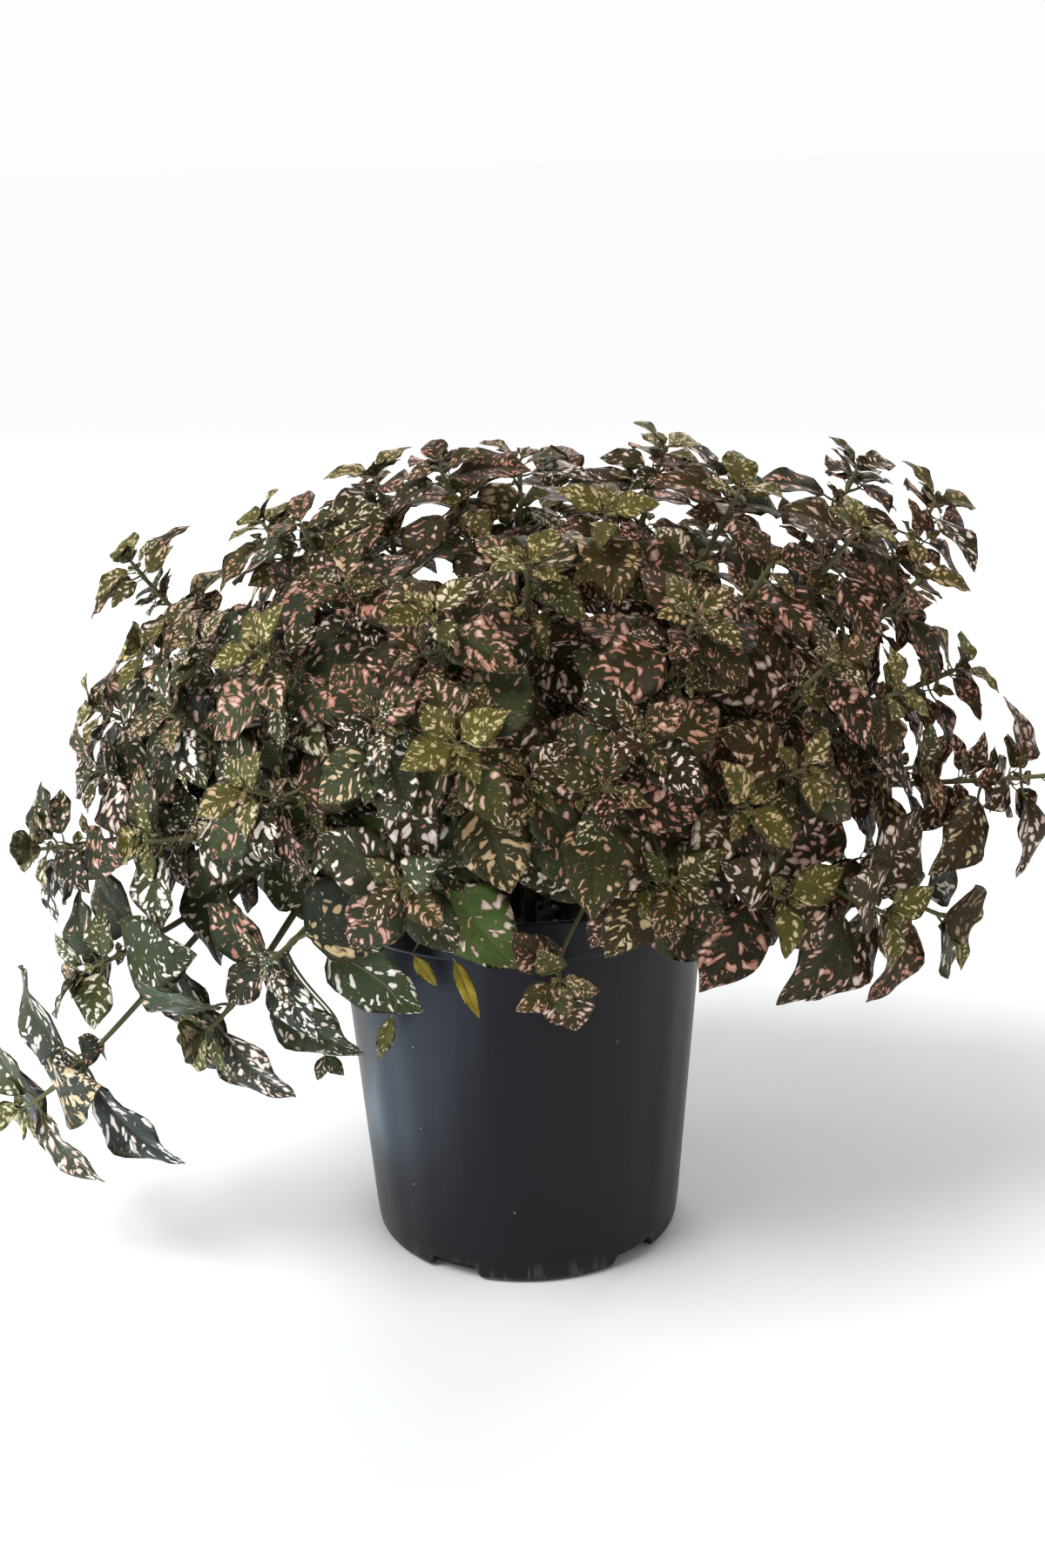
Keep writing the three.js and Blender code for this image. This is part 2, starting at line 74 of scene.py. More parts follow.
def makeCamera():
    eye, target = np.array(photoView["eye"]), np.array(photoView["target"])
    forward = unit(target - eye)
    right = unit(np.cross(forward, (0, 0, 1)))
    up = np.cross(right, forward)
    roll = math.radians(photoView["rollDegrees"])
    rolledRight = right * math.cos(roll) + up * math.sin(roll)
    rolledUp = up * math.cos(roll) - right * math.sin(roll)
    data = bpy.data.cameras.new("photoCamera")
    data.sensor_width = photoView["sensor"]
    data.lens = photoView["focalPixels"] * photoView["sensor"] / photoView["framePixels"]
    camera = addObject("photoCamera", data)
    turn = Matrix([rolledRight, rolledUp, -forward]).transposed().to_4x4()
    camera.matrix_world = Matrix.Translation(Vector(eye) * metre) @ turn
    bpy.context.scene.camera = camera


makeCamera()


# Shader maths as plain expressions: a Signal is one output socket
class Signal:
    def __init__(self, tree, socket=None):
        self.tree, self.socket = tree, socket

    def node(self, kind, settings, inputs, output=0):
        made = self.tree.nodes.new(kind)
        for name, value in settings.items():
            setattr(made, name, value)
        self.feed(made, inputs)
        return Signal(self.tree, made.outputs[output])

    def feed(self, node, inputs):    # a tuple is a colour without its alpha
        for name, value in inputs.items():
            if isinstance(value, Signal):
                self.tree.links.new(value.socket, node.inputs[name])
            else:
                node.inputs[name].default_value = (*value, 1.0) if isinstance(value, tuple) else value

    def math(self, operation, *values):
        return self.node("ShaderNodeMath", {"operation": operation}, dict(enumerate(values)))

    def __add__(self, other):
        return self.math("ADD", self, other)

    def __sub__(self, other):
        return self.math("SUBTRACT", self, other)

    def __rsub__(self, other):
        return self.math("SUBTRACT", other, self)

    def __mul__(self, other):
        return self.math("MULTIPLY", self, other)

    __radd__, __rmul__ = __add__, __mul__

    def most(self, other):
        return self.math("MAXIMUM", self, other)

    def step(self, low, high):    # 0 up to low, 1 from high, and smooth between them
        inputs = {"Value": self, "From Min": low, "From Max": high}
        return self.node("ShaderNodeMapRange", {"interpolation_type": "SMOOTHSTEP"}, inputs)

    def blend(self, first, second):    # first where this is 0, second where it is 1: colours
        return self.node("ShaderNodeMix", {"data_type": "RGBA"}, {0: self, 6: first, 7: second}, output=2)

    def join(self, x, y, z):
        return self.node("ShaderNodeCombineXYZ", {}, {0: x, 1: y, 2: z})

    def parts(self):
        return [self.node("ShaderNodeSeparateXYZ", {}, {0: self}, output=i) for i in range(3)]

    def attribute(self, name):
        return self.node("ShaderNodeAttribute", {"attribute_name": name}, {}, output=1).parts()

    def cells(self, place, scale=1.0):    # the distance to the nearest scattered point
        return self.node("ShaderNodeTexVoronoi", {}, {"Vector": place, "Scale": scale})

    def noise(self, place, scale=1.0, detail=2.0, roughness=0.5):
        inputs = {"Vector": place, "Scale": scale, "Detail": detail, "Roughness": roughness}
        return self.node("ShaderNodeTexNoise", {}, inputs)

    def objectPlace(self):
        return self.node("ShaderNodeTexCoord", {}, {}, output=3)

    def bump(self, strength, distance):    # of this height, in units of the distance
        return self.node("ShaderNodeBump", {}, {"Strength": strength, "Distance": distance, "Height": self})


# The first of a pair, and so much of the second on top of it
def grade(pair, amount):
    return pair[0] + pair[1] * amount


# Of its sockets, the look's "constant" holds those that are the same all over, and paint gives the others
def makeMaterial(name, look, paint):
    material = bpy.data.materials.new(name)
    material.use_nodes = True
    start = Signal(material.node_tree)
    shader = material.node_tree.nodes["Principled BSDF"]
    start.feed(shader, {**look["constant"], **paint(start, look)})
    return material


leafFinish = {
    "green": (0.030, 0.030, 0.009),
    "coolGreen": (0.038, 0.050, 0.020),
    "greyGreen": (0.020, 0.022, 0.014),
    "brown": (0.037, 0.021, 0.0075),
    "deepGreen": (0.007, 0.008, 0.003),
    "youngGreen": (0.120, 0.106, 0.020),
    "darkGreen": (0.035, 0.044, 0.014),
    "freshGreen": (0.078, 0.118, 0.024),
    "salmon": (0.43, 0.185, 0.125),
    "paleSpot": (0.88, 0.77, 0.67),
    "creamSpot": (0.55, 0.46, 0.20),
    "blush": (0.044, 0.016, 0.008),
    "margin": (0.130, 0.110, 0.040),
    "underside": (0.054, 0.052, 0.027),
    "ripeYellow": (0.30, 0.205, 0.020),
    "veinPairs": 6.5,
    # The least radii of spots and flecks, and how much larger they are on the densest leaf
    "spotRadius": (0.32, 0.21),
    "fleckRadius": (0.17, 0.12),
    "spotEdge": 0.07,
    "spotBend": (2.6, 1.1),      # how far rows of spots wander along and across the leaf
    "roughness": 0.42,
    "bump": (0.45, 0.0005),
    "constant": {"Specular IOR Level": 0.11},
}


# A seed's factors only give each leaf its own pattern
def paintLeaf(start, look):
    along, across, face = start.attribute("bladePlace")
    seed, age, warmth = start.attribute("leafLook")
    density, pallor, yellow = start.attribute("leafSpots")
    spotsAlong, spotsAcross, fresh = start.attribute("spotGrid")
    outwards = start.math("ABSOLUTE", across)

    veinWave = start.math("COSINE", along * (2 * math.pi * look["veinPairs"]))
    nearVein = veinWave.step(0.55, 1.0)
    nearMidrib = 1 - outwards.step(0.02, 0.10)
    middle = 1 - outwards.step(0.04, 0.22)
    nearMargin = outwards.step(0.94, 1.0)

    # Spots, and smaller flecks between them
    bendPlace = start.join(along * spotsAlong * 0.55, across * spotsAcross * 0.9, seed * 61)
    bendAlong = start.noise(bendPlace, detail=1.0) - 0.5
    spotAlong = along * spotsAlong + seed * 37 + bendAlong * look["spotBend"][0]
    spotAcross = across * spotsAcross + seed * 11 + bendAlong * look["spotBend"][1]
    spotRadius = grade(look["spotRadius"], density) - middle * 0.17 - nearVein * 0.03
    inSpot = spotRadius - start.cells(start.join(spotAlong, spotAcross, seed * 83))
    spots = inSpot.step(0.0, look["spotEdge"])
    fleckPlace = start.join(spotAlong * 2.3, spotAcross * 2.1, seed * 59)
    inFleck = grade(look["fleckRadius"], density) - middle * 0.10 - start.cells(fleckPlace)
    marks = spots.most(inFleck.step(0.0, 0.1) * 0.85)

    patchPlace = start.join(along * 2.3 + seed * 19, across * 1.4, seed * 47)
    patches = start.noise(patchPlace, detail=3.0, roughness=0.6)
    young = 1 - age.step(0.10, 0.80)
    halo = inSpot.step(-0.16, 0.0) * warmth.step(0.3, 0.9)
    ground = look["greyGreen"]
    for share, tint in (
        (warmth.step(0.0, 0.16), "coolGreen"),
        (warmth.step(0.12, 0.5), "green"),
        ((warmth + patches * 0.5).step(0.55, 1.12), "brown"),
        (seed.step(0.35, 1.0) * (warmth * 0.55 + 0.4), "deepGreen"),
        (1 - density.step(0.05, 0.30), "darkGreen"),
        (fresh, "freshGreen"),
        (halo * 0.45, "blush"),
        (young * (0.4 + patches * 0.7), "youngGreen"),
        (nearMidrib * 0.10 + nearVein * 0.04, "youngGreen"),
        (patches.step(0.45, 0.85) * 0.5, "underside"),
        (nearMargin * 0.5, "margin"),
    ):
        ground = share.blend(ground, look[tint])

    spotTone = pallor + inSpot * 1.5 + (patches - 0.5) * 0.5
    spotColour = spotTone.step(0.1, 0.95).blend(look["salmon"], look["paleSpot"])
    spotColour = (young * 0.8).most(seed.step(0.2, 0.0) * 0.6).blend(spotColour, look["creamSpot"])
    top = marks.blend(ground, spotColour)
    under = (marks * 0.38 + 0.04).blend(look["underside"], spotColour)
    below = 1 - face.step(-0.35, 0.35)
    painted = (below * 0.8).blend(top, under)
    faded = patches.step(0.42, 0.75).blend(look["ripeYellow"], look["freshGreen"])
    faded = (nearMargin.most(nearMidrib * 0.4) * 0.6).blend(faded, look["brown"])
    painted = yellow.blend(painted, faded)

    grainPlace = start.join(along * 60 + seed * 23, across * 34, face * 3 + seed * 7)
    grain = start.noise(grainPlace)
    height = nearVein * -0.35 - nearMidrib * 0.5 + grain * 0.35 + patches * 0.2
    roughness = look["roughness"] + patches * 0.16 + below * 0.12
    return {"Base Color": painted, "Roughness": roughness, "Normal": height.bump(*look["bump"])}


woodFinish = {
    "oldBark": (0.060, 0.042, 0.026),
    "greenBark": (0.125, 0.115, 0.045),
    "petiole": (0.135, 0.100, 0.055),
    "roughness": 0.52,
    "bump": (0.5, 0.0004),
    "constant": {"Specular IOR Level": 0.3},
}


def paintWood(start, look):
    age, lengthwise, seed = start.attribute("barkPlace")
    place = start.objectPlace()
    blotches = start.noise(place, 160.0, detail=3.0, roughness=0.6)
    streakPlace = start.join(lengthwise * 0.15, seed * 40, age * 2)
    streaks = start.noise(streakPlace)
    bark = (age + (blotches - 0.5) * 0.5).step(0.15, 0.75).blend(look["greenBark"], look["oldBark"])
    bark = (streaks.step(0.45, 0.75) * 0.6).blend(bark, look["petiole"])
    grain = start.noise(place, 900.0)
    bump = (grain + blotches).bump(*look["bump"])
    return {"Base Color": bark, "Roughness": look["roughness"] + blotches * 0.2, "Normal": bump}


# The bush grows by its solids' own rule, so that each leaf lies where its solid is
bush = {
    "soilTop": 148.0,
    "centre": np.array((5.0, -5.0, 195.0)),
    "lightFrom": np.array((0.0, -1.1, 0.7)),
    "riseOverRim": 72.0,
    "mainFootRadius": 2.5,
    "sideFootRadius": 1.7,
    "tipRadius": 0.9,
    "buriedFoot": 8.0,
    "midHeight": 230.0,
}
leafForm = {
    "widthShare": 0.68,
    "sizeSpread": 0.16,
    "lowGrowth": 0.34,
    "bend": 0.62,
    "fold": 0.16,
    "wave": 0.045,
    "sag": 0.3,
    "lightTurn": 0.68,
    "pullBack": 0.12,
}
# The last one is how old the leaf's colours look on the youngest branches, from 0 to 1
rankColumns = ("fromTip", "petiole", "length", "tilt", "spread", "youngAge")
leafRanks = [dict(zip(rankColumns, rank)) for rank in (
    (0, 3, 19, 42, 0.25, 0.15),
    (6, 5, 30, 28, 0.5, 0.6),
    (16, 8, 36, 14, 0.68, 1),
    (31, 11, 41, 4, 0.78, 1),
)]
leafTurns = [(0, 0), (16, 0), (-16, 0), (0, 18), (0, -18), (30, 12), (-30, 12), (26, -16), (-26, -16)]
leafTries = [(size, yaw, pitch) for size in (1, 0.84, 0.68) for yaw, pitch in leafTurns]

# Where each stem stands in the soil, and where it and its side branches end
leafyStems = {
    "stem_front": ((4, -50), (4, -136, 246), (-20, -150, 264), (32, -146, 246)),
    "stem_front_left": ((-24, -46), (-42, -122, 202), (-48, -136, 268), (-28, -112, 300)),
    "stem_front_right": ((32, -44), (56, -120, 200), (44, -138, 262), (66, -110, 298), (14, -106, 156)),
    "stem_left_front": ((-44, -30), (-98, -92, 160), (-100, -98, 232), (-94, -84, 282)),
    "stem_right_front": ((50, -26), (100, -98, 184), (106, -102, 236), (120, -80, 272)),
    "stem_low_left": ((-58, -12), (-126, -74, 124), (-146, -62, 200), (-134, -56, 250)),
    "stem_left_drooping": ((-58, 10), (-210, -42, 76), (-194, -34, 188), (-172, -18, 216), (-178, -50, 140)),
    "stem_right_low": ((60, 8), (178, -30, 146), (226, -12, 202), (162, -34, 214)),
    "stem_low_right": ((60, -14), (144, -72, 166), (150, -44, 248), (84, -112, 226)),
    "stem_left": ((-40, 22), (-174, 2, 236), (-158, 20, 294), (-124, -42, 274), (-150, -12, 264)),
    "stem_right": ((48, 22), (190, 22, 240), (180, 40, 308), (168, 4, 284)),
    "stem_top_left": ((-20, 6), (-102, 16, 310), (-62, -76, 304), (-58, 56, 322), (-82, -30, 318)),
    "stem_top": ((-2, -18), (6, -84, 312), (4, 18, 333), (-28, -8, 336)),
    "stem_top_right": ((20, 2), (90, -22, 326), (64, 22, 336), (36, -66, 326)),
    "stem_far_right": ((26, 24), (138, -14, 308), (150, 62, 319), (98, -60, 304)),
    "stem_back_left": ((-34, 46), (-142, 92, 172), (-124, 108, 248), (-72, 124, 298)),
    "stem_back": ((0, 54), (-34, 152, 166), (-6, 158, 250), (22, 112, 310)),
    "stem_back_right": ((34, 48), (118, 118, 164), (112, 122, 244), (92, 84, 314)),
}
# The last side branch of stem_front_right is a thin stalk with small leaves and no shoots
stalk = {"leafShare": 0.7, "footRadius": 1.1, "tipRadius": 0.65}


# A number from 0 to 1 that depends only on the whole numbers given
def draw(*keys):
    mask = 0xFFFFFFFF
    value = 40503
    for key in keys:
        value = ((value ^ (key + 1013)) * 2654435761) & mask
        value ^= value >> 15
    value = (value * 2246822519) & mask
    return ((value ^ (value >> 13)) >> 8) / 16777216


def mix(first, second, share):
    return first + (second - first) * share


def clamp(value, low=0, high=1):
    return min(max(value, low), high)


def curvePoint(controls, share):
    a, b, c, d = controls
    s = np.asarray(share, float)[..., None]
    return (1 - s) ** 3 * a + 3 * (1 - s) ** 2 * s * b + 3 * (1 - s) * s ** 2 * c + s ** 3 * d


def curveTangent(controls, share):
    a, b, c, d = controls
    s = np.asarray(share, float)[..., None]
    return unit((1 - s) ** 2 * (b - a) + 2 * (1 - s) * s * (c - b) + s ** 2 * (d - c))


def makeBranch(start, departure, tip, footRadius, tipRadius, leastRise=0.0):
    reach = np.linalg.norm(tip - start)
    rise = max(reach * 0.4, leastRise)
    outwards = unit((tip - bush["centre"]) * (1, 1, 0))
    lift = clamp((tip[2] - 190) / 130, -0.5, 1.1)    # a low tip points down, and a high one up
    arrival = unit(outwards * (1 - 0.5 * max(lift, 0)) + np.array((0, 0, lift)))
    controls = np.array([start, start + departure * rise, tip - arrival * reach * 0.36, tip])
    steps = curvePoint(controls, np.linspace(0, 1, 25))
    length = np.linalg.norm(np.diff(steps, axis=0), axis=1).sum()
    normal = unit(np.cross(departure, tip - start))
    line = dict(controls=controls, tip=tip, planeNormal=normal, length=length)
    return dict(footRadius=footRadius, tipRadius=tipRadius, seats=[], leafShare=1, **line)


# A branch's point, its direction and the two directions across it
def branchFrame(branch, share):
    tangent = curveTangent(branch["controls"], share)
    across = squareTo(tangent, branch["planeNormal"])
    return curvePoint(branch["controls"], share), tangent, across, np.cross(tangent, across)


def growBranches(foot, mainTip, *sideTips):
    start = np.array((*foot, bush["soilTop"]))
    rise = bush["riseOverRim"] + 0.6 * max(0, bush["soilTop"] - mainTip[2])
    upwards = np.array((0.0, 0.0, 1.0))
    main = makeBranch(start, upwards, np.array(mainTip), bush["mainFootRadius"], bush["tipRadius"], rise)
    branches = [main]
    for i, tip in enumerate(sideTips):
        point, tangent, _, _ = branchFrame(main, 0.22 + 0.12 * i)    # where it forks off
        departure = unit(mix(tangent, unit(tip - point), 0.5))
        side = makeBranch(point, departure, np.array(tip), bush["sideFootRadius"], bush["tipRadius"])
        branches.append(side)
    return branches


def towardsLight(point):
    return unit(unit(point - bush["centre"]) + bush["lightFrom"])


# A leaf's frame: along runs from its base to its tip, and up out of its upper face
def aimLeaf(frameHere, turnDegrees, tiltDegrees, spread, sag=1.0):
    point, tangent, across, over = frameHere
    turn, tilt = math.radians(turnDegrees), math.radians(tiltDegrees)
    outwards = across * math.cos(turn) + over * math.sin(turn)
    along = outwards * math.cos(tilt) + tangent * math.sin(tilt)
    light = towardsLight(point)
    along = along - light * along.dot(light) * spread
    along = unit(along - np.array((0, 0, leafForm["sag"] * spread * sag)))
    up = mix(tangent, light, leafForm["lightTurn"])
    return along, squareTo(along, up)


def makeLeaf(branch, branchIndex, rank, side, attempt):
    size, yaw, pitch = attempt
    form = leafRanks[rank]
    keys = (branchIndex, rank, side)
    share = 1 - form["fromTip"] / branch["length"]
    frameHere = branchFrame(branch, share)
    point = frameHere[0]
    turn = 45 + 90 * ((rank + 2 * side) % 4) + 16 * (draw(*keys, 1) - 0.5) + yaw
    tilt = form["tilt"] + 14 * (draw(*keys, 2) - 0.5) + pitch
    along, up = aimLeaf(frameHere, turn, tilt, form["spread"])
    lowness = clamp((bush["midHeight"] - point[2]) / 100, -0.1)
    grown = size * branch["leafShare"] * (1 + leafForm["sizeSpread"] * (2 * draw(*keys, 3) - 1))
    length = form["length"] * grown * (1 + leafForm["lowGrowth"] * lowness)
    width = length * leafForm["widthShare"] * 0.5 * (1 + 0.1 * (2 * draw(*keys, 4) - 1))
    place = dict(root=point, along=along, up=up, share=share, phase=2 * math.pi * draw(*keys, 5))
    return dict(petiole=form["petiole"] * size, length=length, width=width, **place)


# The middle surface of a blade: s runs from its base to its tip, and side from -1 to 1 across it
def bladePoint(leaf, s, side):
    s, side = np.asarray(s, float), np.asarray(side, float)
    length, up, along = leaf["length"], leaf["up"], leaf["along"]
    outline = np.maximum(np.sin(np.pi * s ** 0.72), 0) ** 0.9
    reach = leaf["width"] * outline * side
    wave = leafForm["wave"] * length * np.sin(11 * s + leaf["phase"] + 1.7 * side) * np.sin(np.pi * s)
    forwards = leaf["petiole"] + length * s * (1 - leafForm["pullBack"] * s)
    upwards = leafForm["fold"] * abs(reach) + wave * abs(side) - 0.5 * leafForm["bend"] * length * s * s
    across = np.cross(along, up)
    return leaf["root"] + forwards[..., None] * along + reach[..., None] * across + upwards[..., None] * up


# A seat's leaf as its solid was placed, or none where the solid was left out
def placedLeaf(branch, branchIndex, rank, side, corners):
    for attempt in leafTries:
        leaf = makeLeaf(branch, branchIndex, rank, side, attempt)
        tip = bladePoint(leaf, 1, 0)
        if np.abs(corners - tip).sum(axis=1).min() < 0.1:    # the solid has a corner at the leaf's tip
            return leaf
    return None


# The small cubes of space that are taken already
class Crowd:
    def __init__(self, low, high, pitch):
        self.low, self.pitch = np.array(low), pitch
        self.taken = np.zeros(np.ceil((np.array(high) - low) / pitch).astype(int) + 1, bool)

    def cells(self, points):
        found = ((points - self.low) / self.pitch).astype(int)
        return tuple(np.clip(found, 0, np.array(self.taken.shape) - 1).reshape(-1, 3).T)

    def add(self, points):
        self.taken[self.cells(points)] = True

    def share(self, points):
        return self.taken[self.cells(points)].mean()


def leafSamples(leaf, spacing=1.5):
    rows = max(4, round(leaf["length"] / spacing))
    columns = max(4, round(2 * leaf["width"] / spacing))
    s, side = np.meshgrid(np.linspace(0.05, 1, rows), np.linspace(-1, 1, columns))
    return bladePoint(leaf, s, side).reshape(-1, 3)


crowdPitch = 2.2
crowd = Crowd((-280, -220, 0), (290, 240, 400), crowdPitch)


# The pot and 4 mm around it, and inside it the soil and 6 mm over it
def takePotSpace():
    sideways = np.arange(-90, 90, crowdPitch)
    x, y, z = np.meshgrid(sideways, sideways, np.arange(0, 176, crowdPitch))
    away = np.hypot(x, y)
    hollow = (away < 76) & (z > bush["soilTop"] + 6)
    solid = (away < 88) & (z < 174) & ~hollow
    crowd.add(np.stack([x[solid], y[solid], z[solid]], axis=-1))


# How young a branch's leaves look, from 0 to 1: more so where it reaches far out or up
def branchYouth(tip, drawn):
    outwards = abs(tip[0]) / 200 + max(tip[2] - 240, 0) / 250
    return clamp(1.3 * drawn - 0.35 + 0.6 * outwards)


# The branches and larger leaves come first, and the shoots fill in between them
takePotSpace()
plants = {}
branchNumber = 0
for stemIndex, (name, (foot, *tips)) in enumerate(leafyStems.items()):
    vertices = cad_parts[name].data.vertices
    corners = np.array([vertex.co for vertex in vertices]) / metre
    branches = growBranches(foot, *tips)
    if name == "stem_front_right":
        branches[-1].update(stalk)
    leaves = []
    for i, branch in enumerate(branches):
        branch["youth"] = branchYouth(tips[i], draw(stemIndex, i, 51))
        for rank, form in enumerate(leafRanks):
            for side in (0, 1):
                leaf = placedLeaf(branch, branchNumber, rank, side, corners)
                if leaf:
                    leaf["keys"] = (stemIndex, i, rank, side)
                    leaf["age"] = mix(1, form["youngAge"], branch["youth"])
                    leaves.append(leaf)
                    branch["seats"].append(leaf["share"])
                    crowd.add(leafSamples(leaf))
        branchNumber += 1
    plants[name] = {"branches": branches, "leaves": leaves, "twigs": []}
print("leaves that follow the solids:", sum(len(plant["leaves"]) for plant in plants.values()))

shoots = {
    "seats": (11, 22, 36, 46, 70, 95, 122, 150, 178),    # distances from a branch's tip
    "lowestSeat": {"main": 0.34, "side": 0.12, "lowerBehind": 0.1},    # shares of a branch
    "shortest": 6,
    "longest": 26,
    "footRadius": 1.0,
    "tipRadius": 0.55,
    "pairs": {
        "lengths": (28, 20, 10),    # of a shoot's pairs of leaves, from the largest
        "spacings": (8, 3, 0),      # how far each pair is from the shoot's tip
        "mostCrowded": 0.09,
    },
    "size": (0.72, 0.5),      # the least, and how much larger the largest are
    "largerAtBack": 0.25,
    "youngest": (0.75, 0.45, 0.1),    # the pairs' least ages: 0 is yellow green, and 1 full-grown
    "chance": (0.64, 0.35),       # that a seat has a shoot: on a high branch and on a low one
    "lowHeights": (210, 60),      # a tip is low under the first, and wholly so this much lower
    "behind": 70,                 # a tip so far back has a shoot at every seat
    "farBehind": (60, 30),        # shoots grow larger beyond the first, and fully so this much further
}
smallLeafForm = {
    "tumble": 1.4,
    "length": (0.82, 0.36),     # the least, and how much more the most is
    "width": (0.54, 0.18),
    "petiole": (1.2, 0.12),     # of every leaf, and by its length
    "tilt": 24,
    "pairTilt": 14,
    "tiltSpread": 18,
    "turnSpread": 30,
    "lowestPair": 0.25,
}
pairTries = ((1, 0), (0.85, 22), (0.85, -22), (0.7, 40))    # size and lean, until a leaf has room


def smallLeaf(frameHere, keys, length, turn, tilt, spread):
    form = smallLeafForm
    along, up = aimLeaf(frameHere, turn, tilt, spread, sag=0.8)
    up = unit(up + np.array([draw(*keys, n) - 0.5 for n in (11, 12, 13)]) * form["tumble"] * spread)
    up = squareTo(along, up)
    length = length * grade(form["length"], draw(*keys, 14))
    width = length * 0.5 * grade(form["width"], draw(*keys, 15))
    place = dict(root=frameHere[0], along=along, up=up, phase=6.28 * draw(*keys, 16), keys=keys)
    return dict(petiole=grade(form["petiole"], length), length=length, width=width, **place)


def addPairs(plant, branch, keys, firstTurn, ages, lengths, spacings, mostCrowded, spread=0.5):
    form = smallLeafForm
    for pair, (length, fromTip) in enumerate(zip(lengths, spacings)):
        share = 1 - fromTip / branch["length"]
        if share < form["lowestPair"]:
            continue
        frameHere = branchFrame(branch, share)
        for side in (0, 1):
            own = (*keys, pair, side)
            tilt = form["tilt"] + form["pairTilt"] * pair + form["tiltSpread"] * (draw(*own, 21) - 0.5)
            turn = firstTurn + 90 * (pair % 2) + 180 * side + form["turnSpread"] * (draw(*own, 22) - 0.5)
            for shrink, lean in pairTries:
                leaf = smallLeaf(frameHere, own, length * shrink, turn + lean, tilt + lean / 2, spread)
                samples = leafSamples(leaf)
                beyondBase = samples[len(samples) // 6:]    # leaves may cross near their bases
                if crowd.share(beyondBase) < mostCrowded:
                    crowd.add(samples)
                    leaf["age"] = ages[pair]
                    plant["leaves"].append(leaf)
                    branch["seats"].append(share)
                    break


def growShoot(plant, parent, share, side, keys):
    point, tangent, across, over = branchFrame(parent, share)
    quarters = round(3 * draw(*keys, 1)) + 2 * side
    turn = math.radians(45 + 90 * quarters + smallLeafForm["turnSpread"] * (draw(*keys, 2) - 0.5))
    outwards = across * math.cos(turn) + over * math.sin(turn)
    light = towardsLight(point)
    length = mix(shoots["shortest"], shoots["longest"], draw(*keys, 3)) * clamp(1.25 - share, 0.35, 1)
    departure = unit(outwards * 0.9 + tangent * 0.5 + light * 0.25)
    arrival = unit(outwards * 0.5 + tangent * 0.3 + light * (0.9 + 0.4 * draw(*keys, 4)))
    tip = point + departure * length * 0.45 + arrival * length * 0.6
    twig = makeBranch(point, departure, tip, shoots["footRadius"], shoots["tipRadius"])
    before = len(plant["leaves"])
    start, depth = shoots["farBehind"]
    atBack = clamp((parent["tip"][1] - start) / depth)
    scale = grade(shoots["size"], draw(*keys, 5)) * (1 + shoots["largerAtBack"] * atBack)
    pairs = {**shoots["pairs"], "lengths": [scale * each for each in shoots["pairs"]["lengths"]]}
    ages = [mix(age, 1, draw(*keys, 7)) for age in shoots["youngest"]]
    addPairs(plant, twig, keys, 360 * draw(*keys, 6), ages, **pairs)
    if len(plant["leaves"]) > before:
        plant["twigs"].append(twig)


# Pairs of young leaves at every branch's tip, however crowded it is
tipPairs = {
    "youngest": (0.3, 0.12, 0.0),
    "ageOnOldBranches": 0.7,
    "form": {"lengths": (17, 11, 6), "spacings": (2.4, 0.9, 0.0), "mostCrowded": 1.1, "spread": 0.12},
}
for stemIndex, plant in enumerate(plants.values()):
    for i, branch in enumerate(plant["branches"]):
        ages = [mix(tipPairs["ageOnOldBranches"], age, branch["youth"]) for age in tipPairs["youngest"]]
        addPairs(plant, branch, (stemIndex, i, 50), 135, ages, **tipPairs["form"])


def addShoots(stemIndex, plant, seat, distance):
    lowTop, lowDepth = shoots["lowHeights"]
    lowest = shoots["lowestSeat"]
    for i, branch in enumerate(plant["branches"]):
        _, back, height = branch["tip"]
        low, behind = clamp((lowTop - height) / lowDepth), clamp(back / shoots["behind"])
        chance = mix(mix(*shoots["chance"], low), 1, behind)
        share = 1 - distance / branch["length"]
        least = lowest["side"] if i else lowest["main"] - lowest["lowerBehind"] * behind
        if branch["leafShare"] < 1 or share < least:
            continue
        for side in (0, 1):
            if draw(stemIndex, i, seat, side, 8) < chance:
                growShoot(plant, branch, share, side, (stemIndex, i, 60 + seat, side))


for seat, distance in enumerate(shoots["seats"]):
    for stemIndex, plant in enumerate(plants.values()):
        addShoots(stemIndex, plant, seat, distance)
print("leaves with the small shoots:", sum(len(plant["leaves"]) for plant in plants.values()))


# Small leaves that hang in front of the pot, each on its own stalk
hangingLeaves = [
    # stem, the places of the leaf's base and tip, its width, and how yellow it is
    ("stem_front_left", (-40.6, -100, 164.5), (-32.5, -100, 152.0), 6, 0.9),
    ("stem_front_left", (-25.2, -99, 161.5), (-16.6, -99, 137.6), 6.5, 1.0),
    ("stem_left_front", (-50.8, -94, 136.6), (-56.6, -94, 118.6), 7, 0.2),
    ("stem_left_front", (-80.4, -66, 107.6), (-73.1, -66, 98.7), 7, 0.0),
    ("stem_left_front", (-80.4, -66, 107.6), (-84.1, -66, 96.7), 6, 0.0),
]
hangingStalk = {"footRadius": 0.6, "tipRadius": 0.4, "petiole": 1.5, "density": 0.1}


